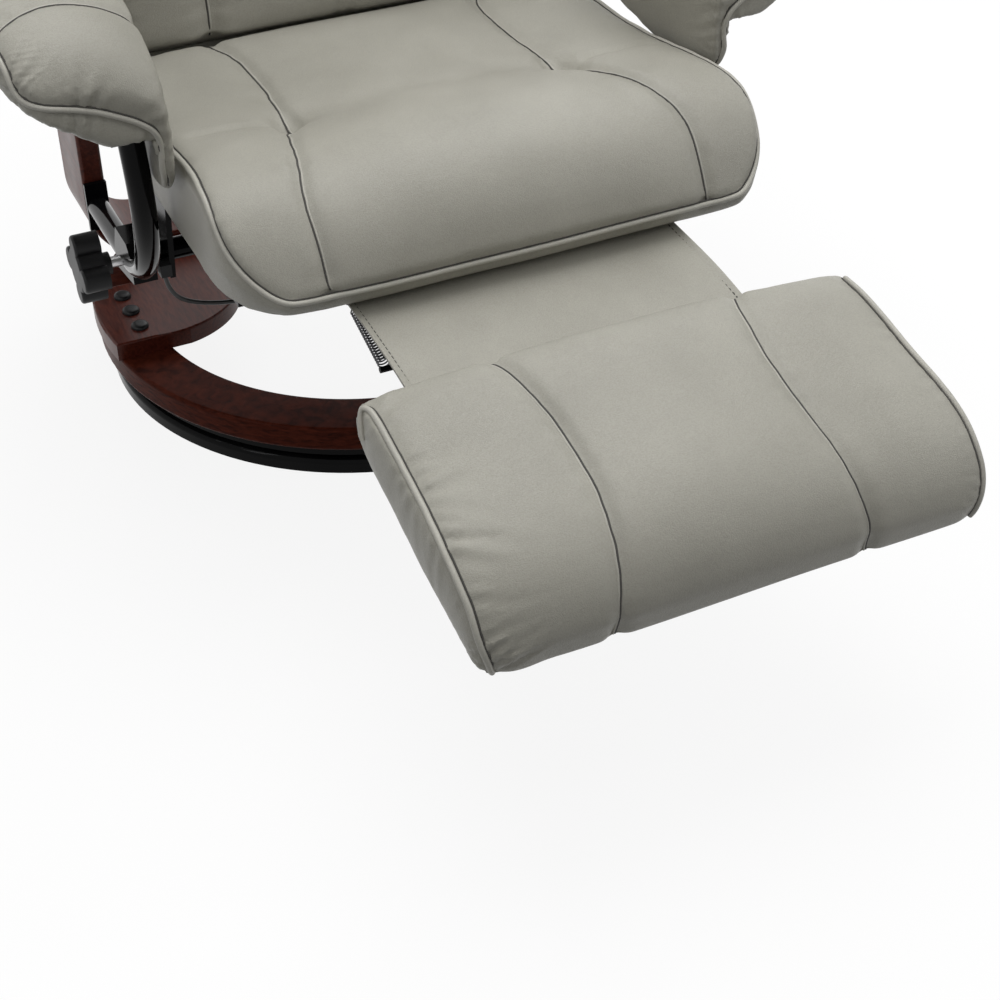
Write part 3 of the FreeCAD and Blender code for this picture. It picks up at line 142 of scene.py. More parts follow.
def pebble_group():
    """Leather grain: small pebbles with creases between them, over slow swells of the hide."""
    group, entry, leave = new_group(
        "leather_pebble",
        [("Cells", "NodeSocketFloat", 520.0), ("Crease", "NodeSocketFloat", 0.5)],
        [("Height", "NodeSocketFloat"), ("Tone", "NodeSocketFloat"), ("Pores", "NodeSocketColor")])
    place = group.nodes.new("ShaderNodeTexCoord")
    cells = group.nodes.new("ShaderNodeTexVoronoi")
    cells.feature = "DISTANCE_TO_EDGE"
    warp = group.nodes.new("ShaderNodeTexNoise")
    warp.inputs["Scale"].default_value = 160.0
    warp.inputs["Detail"].default_value = 3.0
    bend = group.nodes.new("ShaderNodeMixRGB")
    bend.inputs["Fac"].default_value = 0.004
    ramp = group.nodes.new("ShaderNodeValToRGB")
    ramp.color_ramp.elements[0].position = 0.0
    ramp.color_ramp.elements[1].position = 0.22
    swell = group.nodes.new("ShaderNodeTexNoise")
    swell.inputs["Scale"].default_value = 11.0
    swell.inputs["Detail"].default_value = 5.0
    mix = group.nodes.new("ShaderNodeMath")
    mix.operation = "MULTIPLY_ADD"
    link = group.links.new
    link(place.outputs["Object"], warp.inputs["Vector"])
    link(place.outputs["Object"], bend.inputs["Color1"])
    link(warp.outputs["Color"], bend.inputs["Color2"])
    link(bend.outputs["Color"], cells.inputs["Vector"])
    link(entry.outputs["Cells"], cells.inputs["Scale"])
    link(cells.outputs["Distance"], ramp.inputs["Fac"])
    link(place.outputs["Object"], swell.inputs["Vector"])
    pore = group.nodes.new("ShaderNodeTexNoise")
    pore.inputs["Scale"].default_value = 620.0
    pore.inputs["Detail"].default_value = 2.0
    spread = group.nodes.new("ShaderNodeValToRGB")
    spread.color_ramp.elements[0].position = 0.36
    spread.color_ramp.elements[0].color = (0.55, 0.55, 0.55, 1)
    spread.color_ramp.elements[1].position = 0.60
    link(place.outputs["Object"], pore.inputs["Vector"])
    link(pore.outputs["Fac"], spread.inputs["Fac"])
    link(spread.outputs["Color"], leave.inputs["Pores"])
    link(ramp.outputs["Color"], mix.inputs[0])
    link(entry.outputs["Crease"], mix.inputs[1])
    link(warp.outputs["Fac"], mix.inputs[2])
    link(mix.outputs["Value"], leave.inputs["Height"])
    link(swell.outputs["Fac"], leave.inputs["Tone"])
    return group

# %% [markdown]
# Paint, lacquer and moulded plastic are never quite even. One fine noise and one slow noise
# give two masks that all of them share.

# %% Specks and smears


def speck_group():
    """Fine unevenness of paint, lacquer and moulded plastic."""
    group, entry, leave = new_group(
        "fine_specks", [("Scale", "NodeSocketFloat", 300.0)],
        [("Fine", "NodeSocketFloat"), ("Smear", "NodeSocketFloat")])
    place = group.nodes.new("ShaderNodeTexCoord")
    fine = group.nodes.new("ShaderNodeTexNoise")
    fine.inputs["Detail"].default_value = 4.0
    smear = group.nodes.new("ShaderNodeTexNoise")
    smear.inputs["Scale"].default_value = 14.0
    smear.inputs["Detail"].default_value = 6.0
    link = group.links.new
    link(place.outputs["Object"], fine.inputs["Vector"])
    link(entry.outputs["Scale"], fine.inputs["Scale"])
    link(place.outputs["Object"], smear.inputs["Vector"])
    link(fine.outputs["Fac"], leave.inputs["Fine"])
    link(smear.outputs["Fac"], leave.inputs["Smear"])
    return group


PEBBLES = pebble_group()
SPECKS = speck_group()
print("node groups", [g.name for g in bpy.data.node_groups])

# %% [markdown]
# Each finish is a Principled surface. The group's masks drive colour, roughness and bump,
# and a number that is the same all over sits on the shader's own socket.

# %% Finish helpers


def finish_base(name):
    made = bpy.data.materials.new(name)
    made.use_nodes = True
    nodes = made.node_tree.nodes
    return made, nodes, made.node_tree.links.new, nodes["Principled BSDF"]


def ramp_between(nodes, low, high, start=0.3, stop=0.7):
    ramp = nodes.new("ShaderNodeValToRGB")
    ramp.color_ramp.elements[0].position = start
    ramp.color_ramp.elements[1].position = stop
    ramp.color_ramp.elements[0].color = (*low, 1)
    ramp.color_ramp.elements[1].color = (*high, 1)
    return ramp


def rough_range(nodes, link, source, low, high):
    spread = nodes.new("ShaderNodeMapRange")
    spread.inputs["From Min"].default_value = 0.3
    spread.inputs["From Max"].default_value = 0.7
    spread.inputs["To Min"].default_value = low
    spread.inputs["To Max"].default_value = high
    link(source, spread.inputs["Value"])
    return spread.outputs["Result"]


def bumped(nodes, link, height, shader, strength, distance):
    bump = nodes.new("ShaderNodeBump")
    bump.inputs["Strength"].default_value = strength
    bump.inputs["Distance"].default_value = distance
    link(height, bump.inputs["Height"])
    link(bump.outputs["Normal"], shader.inputs["Normal"])

# %% [markdown]
# The cover is a matt grey leather with a soft shine. Tone, pores and bump all come from the
# grain group, so they change together, as on a real hide.

# %% Leather


def leather(name, dark, light, bump):
    made, nodes, link, shader = finish_base(name)
    grain = nodes.new("ShaderNodeGroup")
    grain.node_tree = PEBBLES
    grain.inputs["Cells"].default_value = 560.0
    grain.inputs["Crease"].default_value = 0.55
    ramp = ramp_between(nodes, dark, light)
    pores = nodes.new("ShaderNodeMixRGB")
    pores.blend_type = "MULTIPLY"
    pores.inputs["Fac"].default_value = 0.20
    link(grain.outputs["Tone"], ramp.inputs["Fac"])
    link(ramp.outputs["Color"], pores.inputs["Color1"])
    link(grain.outputs["Pores"], pores.inputs["Color2"])
    link(pores.outputs["Color"], shader.inputs["Base Color"])
    link(rough_range(nodes, link, grain.outputs["Tone"], 0.34, 0.45), shader.inputs["Roughness"])
    shader.inputs["Specular IOR Level"].default_value = 0.30
    shader.inputs["Sheen Weight"].default_value = 0.03
    bumped(nodes, link, grain.outputs["Height"], shader, bump, 0.0006)
    return made

# %% [markdown]
# The base is stained cherry under thin lacquer, and the boards inside are plywood, made dark.
# Noise stretched along one axis reads as grain. A wave pattern would look too regular.

# %% Wood


def wood(name, dark, light, along, shine, coat):
    made, nodes, link, shader = finish_base(name)
    place = nodes.new("ShaderNodeTexCoord")
    turn = nodes.new("ShaderNodeMapping")
    turn.inputs["Scale"].default_value = along
    streak = nodes.new("ShaderNodeTexNoise")
    streak.inputs["Scale"].default_value = 22.0
    streak.inputs["Detail"].default_value = 8.0
    streak.inputs["Distortion"].default_value = 0.6
    ramp = ramp_between(nodes, dark, light, 0.32, 0.70)
    speck = nodes.new("ShaderNodeGroup")
    speck.node_tree = SPECKS
    speck.inputs["Scale"].default_value = 220.0
    link(place.outputs["Object"], turn.inputs["Vector"])
    link(turn.outputs["Vector"], streak.inputs["Vector"])
    link(streak.outputs["Fac"], ramp.inputs["Fac"])
    link(ramp.outputs["Color"], shader.inputs["Base Color"])
    link(rough_range(nodes, link, speck.outputs["Smear"], 0.28, 0.42), shader.inputs["Roughness"])
    shader.inputs["Specular IOR Level"].default_value = shine
    shader.inputs["Coat Weight"].default_value = coat
    shader.inputs["Coat Roughness"].default_value = 0.16
    bumped(nodes, link, streak.outputs["Fac"], shader, 0.06, 0.0008)
    return made

# %% [markdown]
# Black paint, plastic, zinc and thread differ only in colour, roughness and metal, so one
# function makes them all.

# %% Paint, plastic and steel


def coated(name, dark, light, rough, metal=0.0, bump=0.05, scale=420.0, shine=0.5):
    made, nodes, link, shader = finish_base(name)
    speck = nodes.new("ShaderNodeGroup")
    speck.node_tree = SPECKS
    speck.inputs["Scale"].default_value = scale
    ramp = ramp_between(nodes, dark, light)
    link(speck.outputs["Smear"], ramp.inputs["Fac"])
    link(ramp.outputs["Color"], shader.inputs["Base Color"])
    link(rough_range(nodes, link, speck.outputs["Smear"], rough[0], rough[1]), shader.inputs["Roughness"])
    shader.inputs["Metallic"].default_value = metal
    shader.inputs["Specular IOR Level"].default_value = shine
    bumped(nodes, link, speck.outputs["Fine"], shader, bump, 0.0003)
    return made

# %% [markdown]
# Each finish gets its name once, and each solid takes the one that its material slot names.
# The ring looks darker than the uprights in the photograph, so it has a wood of its own.

# %% Dressing the solids
GREY_LEATHER = leather("grey_leather", (0.312, 0.302, 0.260), (0.362, 0.351, 0.305), 0.42)
# The piping leather is lighter than the cover: a painted highlight on the beads and folded edges.
PIPING_HIGHLIGHT_LEATHER = leather("piping_leather_painted_highlight", (0.39, 0.38, 0.335), (0.46, 0.445, 0.395), 0.18)
# Near-black: painted shade in the seams and beside the piping, and the dark thread of the flap hems.
SEAM_SHADE_AND_DARK_THREAD = coated("painted_seam_shade_and_dark_thread", (0.028, 0.026, 0.023), (0.050, 0.047, 0.042), (0.6, 0.8), bump=0.3)
STITCH_THREAD = coated("stitch_thread", (0.30, 0.29, 0.25), (0.40, 0.385, 0.33), (0.55, 0.7), bump=0.3)
CHERRY_RING = wood("cherry_ring", (0.034, 0.0066, 0.0036), (0.115, 0.0245, 0.0130),
                   (3.0, 3.0, 14.0), 0.03, 0.0)
CHERRY_BOARD = wood("cherry_board", (0.056, 0.0100, 0.0058), (0.130, 0.027, 0.0150),
                    (12.0, 2.0, 12.0), 0.17, 0.07)
BLACK_STEEL = coated("black_steel", (0.003, 0.003, 0.0033), (0.007, 0.007, 0.0075), (0.07, 0.13), shine=0.06)
BLACK_PLASTIC = coated("black_plastic", (0.005, 0.005, 0.0055), (0.010, 0.010, 0.011), (0.34, 0.46),
                       bump=0.2, shine=0.22)
ZINC_STEEL = coated("zinc_steel", (0.45, 0.45, 0.46), (0.60, 0.60, 0.60), (0.25, 0.4), metal=1.0)
SPRING_STEEL = coated("spring_steel", (0.06, 0.06, 0.063), (0.11, 0.11, 0.115), (0.28, 0.4), metal=1.0)
PLYWOOD = wood("plywood", (0.028, 0.020, 0.014), (0.055, 0.041, 0.030), (10.0, 2.0, 10.0), 0.12, 0.0)
CABLE_SHEATH = coated("cable_sheath", (0.010, 0.010, 0.010), (0.022, 0.022, 0.022), (0.4, 0.55))
slot_finish = {"black_steel": BLACK_STEEL, "black_plastic": BLACK_PLASTIC, "cherry_wood": CHERRY_BOARD,
               "plywood": PLYWOOD, "grey_leather": GREY_LEATHER, "plain_steel": ZINC_STEEL,
               "black_rubber": CABLE_SHEATH}
slot_of = {part["node"]: part["material_slot"] for part in frame["record"]["subparts"]}
for name, piece in frame["nodes"].items():
    piece.data.materials.clear()
    piece.data.materials.append(slot_finish[slot_of[name]])
frame["nodes"]["wood_ring"].data.materials[0] = CHERRY_RING
cable.data.materials.append(CABLE_SHEATH)
print("finishes", len(bpy.data.materials))

# %% [markdown]
# A padded piece starts as a copy of its solid. It is remeshed into even quads, pumped up by
# a short cloth simulation so that the cover pulls tight between its seams, then the seams
# are pressed in again, because remeshing rounds them off.

# %% Copying and smoothing


def only(piece):
    bpy.ops.object.select_all(action="DESELECT")
    piece.select_set(True)
    bpy.context.view_layer.objects.active = piece


def places(piece):
    co = np.empty(len(piece.data.vertices) * 3)
    piece.data.vertices.foreach_get("co", co)
    return co.reshape(-1, 3)


def set_places(piece, co):
    piece.data.vertices.foreach_set("co", np.asarray(co, float).ravel())
    piece.data.update()


def vertex_normals(piece):
    no = np.empty(len(piece.data.vertices) * 3)
    piece.data.vertex_normals.foreach_get("vector", no)
    return no.reshape(-1, 3)


def copied(node, name):
    piece = bpy.data.objects.new(name, frame["nodes"][node].data.copy())
    bpy.context.scene.collection.objects.link(piece)
    only(piece)
    bpy.ops.object.mode_set(mode="EDIT")
    bpy.ops.mesh.select_all(action="SELECT")
    bpy.ops.mesh.remove_doubles(threshold=0.0001)
    bpy.ops.mesh.normals_make_consistent(inside=False)
    bpy.ops.object.mode_set(mode="OBJECT")
    return piece


def relaxed(piece, repeat, factor=0.5):
    only(piece)
    soften = piece.modifiers.new("relax", "SMOOTH")
    soften.iterations = repeat
    soften.factor = factor
    bpy.ops.object.modifier_apply(modifier="relax")

# %% [markdown]
# Seams and piping are lines through a few points that were found in the photograph. A smooth
# curve through them is cut into even steps, so that every point of a cover can be asked how
# far it lies from the seam.

# %% Lines on a cover


def along_line(points, step=0.004):
    """Even steps along a smooth line through the given points."""
    points = np.array(points, float)
    if len(points) > 2:
        fine = []
        for i in range(len(points) - 1):
            a = points[max(i - 1, 0)]
            b, c = points[i], points[i + 1]
            d = points[min(i + 2, len(points) - 1)]
            for t in np.linspace(0, 1, 24, endpoint=False):
                fine.append(0.5 * (2 * b + (c - a) * t + (2 * a - 5 * b + 4 * c - d) * t * t
                                   + (3 * b - a - 3 * c + d) * t ** 3))
        points = np.array(fine + [points[-1]])
    far = np.concatenate([[0], np.cumsum(np.linalg.norm(np.diff(points, axis=0), axis=1))])
    where = np.linspace(0, far[-1], max(2, int(far[-1] / step) + 1))
    return np.stack([np.interp(where, far, points[:, k]) for k in range(3)], axis=1)


def nearest_on(line, co):
    """For each point: its distance to the line and how far along the line it lies."""
    best = np.full(len(co), 1e9)
    place = np.zeros(len(co))
    step = np.linalg.norm(line[1] - line[0])
    for i, spot in enumerate(line):
        d = np.linalg.norm(co - spot, axis=1)
        closer = d < best
        best[closer] = d[closer]
        place[closer] = i * step
    return best, place

# %% [markdown]
# A filled cover bulges between its seams. It could be sculpted. A short cloth simulation with
# air pressure finds the bulge by itself: the seams and the side that rests on the frame are
# pinned, and what moves outwards is evened out and capped.

# %% Stuffing


def spread_out(piece, amount, repeat):
    """Even out a value per point with its neighbours along the edges."""
    ends = np.empty(len(piece.data.edges) * 2, int)
    piece.data.edges.foreach_get("vertices", ends)
    first, second = ends.reshape(-1, 2).T
    count = np.bincount(ends, minlength=len(amount))
    for step in range(repeat):
        total = np.bincount(first, amount[second], len(amount))
        total += np.bincount(second, amount[first], len(amount))
        amount = 0.4 * amount + 0.6 * total / np.maximum(count, 1)
    return amount


SEAM_GRIP = 0.008
RESTING_SIDE = 0.4
CLOTH_FRAMES = 14
EVENING_STEPS = 10


def pumped(piece, pressure, cap, sewn, rests):
    """Swell the cover between its seams like a filled cushion, no point further than the cap."""
    before = places(piece)
    normal = vertex_normals(piece)
    far = np.min([nearest_on(line, before)[0] for line in sewn], axis=0)
    held = (far < SEAM_GRIP) | ((normal @ np.array(rests).T).max(axis=1) > RESTING_SIDE)
    only(piece)
    group = piece.vertex_groups.new(name="sewn_or_resting")
    group.add([int(i) for i in np.nonzero(held)[0]], 1.0, "REPLACE")
    cloth = piece.modifiers.new("stuffing", "CLOTH")
    cloth.settings.quality = 4
    cloth.settings.mass = 0.3
    cloth.settings.tension_stiffness = 15
    cloth.settings.compression_stiffness = 15
    cloth.settings.bending_stiffness = 2.0
    cloth.settings.use_pressure = True
    cloth.settings.uniform_pressure_force = pressure
    cloth.settings.vertex_group_mass = group.name
    cloth.settings.effector_weights.gravity = 0
    cloth.collision_settings.use_collision = False
    cloth.point_cache.frame_start = 1
    cloth.point_cache.frame_end = CLOTH_FRAMES
    for step in range(1, CLOTH_FRAMES + 1):
        bpy.context.scene.frame_set(step)
    graph = bpy.context.evaluated_depsgraph_get()
    shown = piece.evaluated_get(graph)
    after = np.empty(len(shown.data.vertices) * 3)
    shown.data.vertices.foreach_get("co", after)
    piece.modifiers.remove(cloth)
    piece.vertex_groups.remove(group)
    bpy.context.scene.frame_set(1)
    outward = ((after.reshape(-1, 3) - before) * normal).sum(axis=1)
    print(piece.name, "pressed out by up to mm", round(float(outward.max()) * 1000, 1))
    outward = spread_out(piece, np.clip(outward, 0, cap) * ~held, EVENING_STEPS)
    set_places(piece, before + normal * outward[:, None])


def stuffed(node, name, voxel, pressure, cap, sewn, rests, smooth=4):
    piece = copied(node, name)
    piece.data.remesh_voxel_size = voxel
    bpy.ops.object.voxel_remesh()
    relaxed(piece, smooth)
    pumped(piece, pressure, cap, sewn, rests)
    only(piece)
    rounder = piece.modifiers.new("round", "SUBSURF")
    rounder.levels = 1
    rounder.render_levels = 1
    bpy.ops.object.modifier_apply(modifier="round")
    return piece

# %% [markdown]
# A seam pulls the cover in and gathers it into small puckers. They are pressed into the mesh
# itself and not painted as bump, so that they also show in the outline.

# %% Seams and puckers


def surface(piece):
    piece.data.calc_loop_triangles()
    return BVHTree.FromPolygons([v.co.copy() for v in piece.data.vertices],
                                [tuple(t.vertices) for t in piece.data.loop_triangles])


def laid_on(piece, line, lift):
    """The line moved on to the piece's surface, lifted along its normal."""
    tree = surface(piece)
    laid = []
    for spot in line:
        hit, normal, index, far = tree.find_nearest(Vector(spot))
        laid.append(np.array(hit) + np.array(normal) * lift)
    laid = np.array(laid)
    for repeat in range(3):
        laid[1:-1] = 0.25 * laid[:-2] + 0.5 * laid[1:-1] + 0.25 * laid[2:]
    return laid


def pressed(piece, lines, depth, width, pucker=0.0, pitch=0.02):
    """Press seams into the cover, with small uneven puckers that run away from them."""
    lines = [laid_on(piece, line, 0.0) for line in lines]
    co = places(piece)
    normal = vertex_normals(piece)
    move = np.zeros(len(co))
    for number, line in enumerate(lines):
        far, place = nearest_on(line, co)
        move -= depth * np.exp(-(far / width) ** 2)
        if pucker:
            steps = np.arange(0, place.max() + 0.02, 0.01)
            gather = [max(0.0, 0.35 + noise.noise(Vector((at * 28.0, number * 5.3, 2.0)))) for at in steps]
            slant = place + 0.5 * far * np.sin(place * 23.0 + number)
            wave = np.sin(slant * 2 * math.pi / pitch + 1.9 * np.sin(place * 41.0 + number))
            band = np.exp(-((far - 1.2 * width) / (1.1 * width)) ** 2)
            move += pucker * wave * band * np.interp(place, steps, gather)
    set_places(piece, co + normal * move[:, None])


def crumpled(piece, amount, scale, seed):
    """Slow uneven swells, as a filled cover has."""
    co = places(piece)
    shift = Vector((seed * 3.1, seed * 1.7, seed * 0.9))
    swell = np.array([noise.noise(Vector(c) * scale + shift) for c in co])
    set_places(piece, co + vertex_normals(piece) * (amount * swell)[:, None])

# %% [markdown]
# Piping is a cord wrapped in leather, and a stitch is a short thread. Both are tubes along a
# line: a curve with a round bevel, made a mesh. The piping leather is lighter than the cover, a
# painted highlight, and a near-black tube of painted shade lies beside each piping. A plain seam
# shows as a near-black tube of painted shade in its crease, with a lighter leather tube beside
# it: a small ridge on the folded edge of one panel, with a painted highlight.

# %% Piping and threads


def tube(name, line, radius, material, body, sides=3):
    """A round cord, piping or thread along a line, made from a curve with a bevel."""
    curve = bpy.data.curves.new(name, "CURVE")
    curve.dimensions = "3D"
    curve.bevel_depth = radius
    curve.bevel_resolution = sides
    curve.use_fill_caps = True
    spline = curve.splines.new("POLY")
    spline.points.add(len(line) - 1)
    spline.points.foreach_set("co", np.concatenate([line, np.ones((len(line), 1))], axis=1).ravel())
    piece = bpy.data.objects.new(name, curve)
    bpy.context.scene.collection.objects.link(piece)
    only(piece)
    bpy.ops.object.convert(target="MESH")
    piece = bpy.context.object
    piece.data.materials.clear()
    piece.data.materials.append(material)
    bpy.ops.object.shade_smooth()
    if body:
        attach(piece, body)
    return piece


def beside(piece, line, shift, lift):
    """The line moved sideways over the surface, to its own right when shift is above zero."""
    tree = surface(piece)
    ahead = np.gradient(line, axis=0)
    moved = []
    for spot, way in zip(line, ahead):
        hit, normal, index, far = tree.find_nearest(Vector(spot))
        moved.append(np.array(hit) + np.array(Vector(way).cross(normal).normalized()) * shift)
    return laid_on(piece, moved, lift)


BEAD_RADIUS = 0.0027
BEAD_LIFT = 0.0012
SHADE_RADIUS = 0.0009
SHADE_SHIFT = 0.0035
SHADE_LIFT = 0.0001
SEAM_RADIUS = 0.0010
SEAM_LIFT = -0.0001
FOLD_HIGHLIGHT_RADIUS = 0.0011
FOLD_HIGHLIGHT_SHIFT = 0.0017
FOLD_HIGHLIGHT_LIFT = -0.0004


def piped(name, piece, line, body, inward):
    """A leather bead sewn in a seam, lighter than the cover as a painted highlight, with a near-black tube of
    painted shade on its panel side.
    """
    tube(name, laid_on(piece, line, BEAD_LIFT), BEAD_RADIUS, PIPING_HIGHLIGHT_LEATHER, body)
    # A near-black tube beside the bead: painted shade.
    shade_line = beside(piece, line, inward * SHADE_SHIFT, SHADE_LIFT)
    tube(name + "_shade", shade_line, SHADE_RADIUS, SEAM_SHADE_AND_DARK_THREAD, body)


def seamed(name, piece, line, body, lip):
    """A plain seam: a near-black tube of painted shade where the panels meet, and beside it a lighter leather
    tube, a small ridge on the folded edge of one panel with a painted highlight.
    """
    tube(name, laid_on(piece, line, SEAM_LIFT), SEAM_RADIUS, SEAM_SHADE_AND_DARK_THREAD, body)
    # A lighter leather tube beside the seam: a small ridge on the folded edge with a painted highlight.
    fold_highlight_line = beside(piece, line, lip * FOLD_HIGHLIGHT_SHIFT, FOLD_HIGHLIGHT_LIFT)
    tube(name + "_fold", fold_highlight_line, FOLD_HIGHLIGHT_RADIUS, PIPING_HIGHLIGHT_LEATHER, body)

# %% [markdown]
# Each padded piece is attached to the body that carries it, and the solid it stands for is hidden.
# Most lines are found on one side of the chair and mirrored for the other.

# %% Handing a cushion over


def dressed(piece, body, nodes):
    piece.data.materials.clear()
    piece.data.materials.append(GREY_LEATHER)
    only(piece)
    bpy.ops.object.shade_smooth()
    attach(piece, body)
    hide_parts(*nodes)
    print(piece.name, "faces", len(piece.data.polygons))


def mirror_line(line):
    return np.array(line) * np.array([-1, 1, 1])


def both_sides(line):
    """A line that ends at the middle of the chair, carried on over the other side."""
    return np.concatenate([line, mirror_line(line)[::-1][1:]])


def mm(points):
    return np.array(points, float) * MM


# %% [markdown]
# The seat cushion has a top panel that rolls over the front edge and two side panels. Piping
# runs round the roll, two long seams cross it, and two tufts pull it down.

# %% Seat cushion
seat_piping_half = mm([(-264, -12, 396), (-270, -40, 399), (-272, -120, 404), (-273, -211, 412),
                       (-275, -300, 424), (-278, -350, 424), (-279, -380, 415), (-276, -408, 391),
                       (-264, -435, 369), (-246, -450, 356), (-223, -458, 350), (-172, -459, 348),
                       (-90, -459, 347), (0, -459, 347)])
seat_seam = mm([(-155, -12, 404), (-144, -42, 405), (-140, -111, 406), (-144, -176, 407), (-148, -231, 411),
                (-160, -262, 419), (-172, -310, 431), (-186, -366, 431), (-195, -402, 420), (-196, -432, 394),
                (-196, -457, 352)])
tuft_crease = mm([(-148, -231, 411), (-70, -234, 418), (0, -236, 420), (70, -234, 418), (148, -231, 411)])
piping_line = both_sides(along_line(seat_piping_half))
seam_lines = [along_line(seat_seam), mirror_line(along_line(seat_seam))]
print("seat piping in steps of 4 mm:", len(piping_line))

# %% [markdown]
# The cover is pumped up first. Then piping, seams, tufts and creases are pressed in, the rear
# edge is moved against the back, and the lower front corners are drawn up and in, as the
# photograph shows.

# %% Seat cover
seat = stuffed("seat_cushion", "seat_leather", 0.0062, 4.0, 0.006, [piping_line, *seam_lines], [(0, 0, -1)])
pressed(seat, [piping_line], 0.003, 0.008, 0.0004, 0.021)
pressed(seat, seam_lines, 0.0050, 0.008, 0.0005, 0.026)
pressed(seat, [along_line(tuft_crease)], 0.003, 0.026)
side_crease = along_line(mm([(-178, -236, 410), (-205, -243, 409), (-243, -241, 407)]))
pressed(seat, [side_crease, mirror_line(side_crease)], 0.0026, 0.009)
tufts = [along_line(mm([(side * 147, -226, 410), (side * 149, -236, 410)]), 0.002) for side in (-1, 1)]
pressed(seat, tufts, 0.007, 0.020, 0.0009, 0.006)
crumpled(seat, 0.0016, 9.0, 1)
co = places(seat)
co[:, 1] += 0.006 * np.clip((co[:, 1] + 0.055) / 0.043, 0, 1) ** 2
corner = np.clip((np.abs(co[:, 0]) - 0.190) / 0.090, 0, 1) ** 2 * np.clip((-co[:, 1] - 0.330) / 0.120, 0, 1)
below = np.clip((0.365 - co[:, 2]) / 0.040, 0, 1)
co[:, 2] += 0.016 * corner * below
co[:, 0] -= np.sign(co[:, 0]) * 0.012 * corner * below
tuck = np.clip((0.347 - co[:, 2]) / 0.018, 0, 1) * np.clip((-co[:, 1] - 0.420) / 0.030, 0, 1)
co[:, 1] += 0.010 * tuck
set_places(seat, co)
dressed(seat, "seat", ["seat_cushion"])
piped("seat_piping", seat, piping_line, "seat", -1)
for side, line in zip(("right", "left"), seam_lines):
    seamed("seat_seam_" + side, seat, line, "seat", -1)

# %% [markdown]
# The footrest is a flat bolster with two seams across it and a piped panel at each end.

# %% Footrest


def on_rest(points):
    """Across, along the footrest's slope and up from its board, turned to that slope."""
    tip = math.radians(-15.0)
    out = []
    for across, along, rise in points:
        out.append((across * MM, -(606 + along * math.cos(tip) - rise * math.sin(tip)) * MM,
                    (300 + along * math.sin(tip) + rise * math.cos(tip)) * MM))
    return np.array(out)


end_piping = on_rest([(-246, 27, 36), (-245, 15, 47), (-240, 8, 57), (-235, 14, 64), (-234, 36, 67),
                      (-235, 81, 70), (-236, 124, 72), (-239, 177, 72), (-240, 221, 62),
                      (-238, 246, 42), (-231, 258, 20), (-228, 260, 6)])
rest_seam = on_rest([(-119, 0, 46), (-119, 3, 67), (-113, 22, 74), (-106, 64, 79), (-102, 108, 82),
                     (-103, 160, 84), (-108, 207, 78), (-113, 238, 61), (-117, 256, 40),
                     (-119, 261, 8)])
rest_seams = [along_line(rest_seam), mirror_line(along_line(rest_seam))]
end_lines = [along_line(end_piping), mirror_line(along_line(end_piping))]
print("footrest seams", len(rest_seams), "and piped ends", len(end_lines))

# %% [markdown]
# One end is gathered where it is sewn, the other is nearly smooth. The end panels are flat
# and stiff, so they are held while the cover is pumped, and pressed flatter afterwards.

# %% Footrest cover
rest_pad = stuffed("footrest_pad", "footrest_leather", 0.0058, 4.0, 0.005, rest_seams + end_lines,
                   [(0, 0.26, -0.97), (1, 0, 0), (-1, 0, 0)])
pressed(rest_pad, rest_seams, 0.0045, 0.008, 0.0004, 0.03)
pressed(rest_pad, end_lines[:1], 0.003, 0.010, 0.0022, 0.017)
pressed(rest_pad, end_lines[:1], 0.0, 0.022, 0.0015, 0.024)
pressed(rest_pad, end_lines[1:], 0.003, 0.010, 0.0006, 0.017)
crumpled(rest_pad, 0.0014, 9.0, 2)
co = places(rest_pad)
past = np.clip(np.abs(co[:, 0]) - 0.236, 0, None)
co[:, 0] -= np.sign(co[:, 0]) * 0.5 * past
set_places(rest_pad, co)
dressed(rest_pad, "footrest", ["footrest_pad"])
for side, seam, edge in zip(("right", "left"), rest_seams, end_lines):
    seamed("footrest_seam_" + side, rest_pad, seam, "footrest", 1)
    piped("footrest_piping_" + side, rest_pad, edge, "footrest", -1 if side == "right" else 1)

# %% [markdown]
# The back is two pads on one leaning frame. Its points are set out upright about the hinge
# and then leaned, as in the solid.

# %% Back and head pillow
HINGE = np.array([0, 45, 375]) * MM
LEAN = math.radians(28.0)


def on_back(points):
    """Across, up along the back and forward from the hinge, leaned to the back's slope."""
    out = []
    for across, up, forward in points:
        out.append((across * MM, HINGE[1] + (up * math.sin(LEAN) - forward * math.cos(LEAN)) * MM,
                    HINGE[2] + (up * math.cos(LEAN) + forward * math.sin(LEAN)) * MM))
    return np.array(out)


back_seam = along_line(on_back([(-150, 5, 50), (-150, 60, 78), (-150, 200, 94), (-150, 330, 84),
                                (-150, 460, 72), (-150, 506, 44)]))
center_seams = [along_line(on_back([(x, 5, 52), (x, 60, 82), (x, 200, 104), (x, 330, 96), (x, 460, 80),
                                    (x, 506, 46)])) for x in (-7, 7)]
lumbar = along_line(on_back([(-240, 150, 70), (-150, 150, 86), (0, 152, 96), (150, 150, 86), (240, 150, 70)]))
back_edge = along_line(on_back([(-238, 6, 44), (-246, 60, 62), (-249, 200, 78), (-248, 330, 70),
                                (-245, 450, 58), (-234, 504, 38)]))

# %% [markdown]
# The lower pad has two long seams, a seam across the small of the back and piped sides. Its
# lower edge is fuller than the solid's, because the real pad closes on the seat.

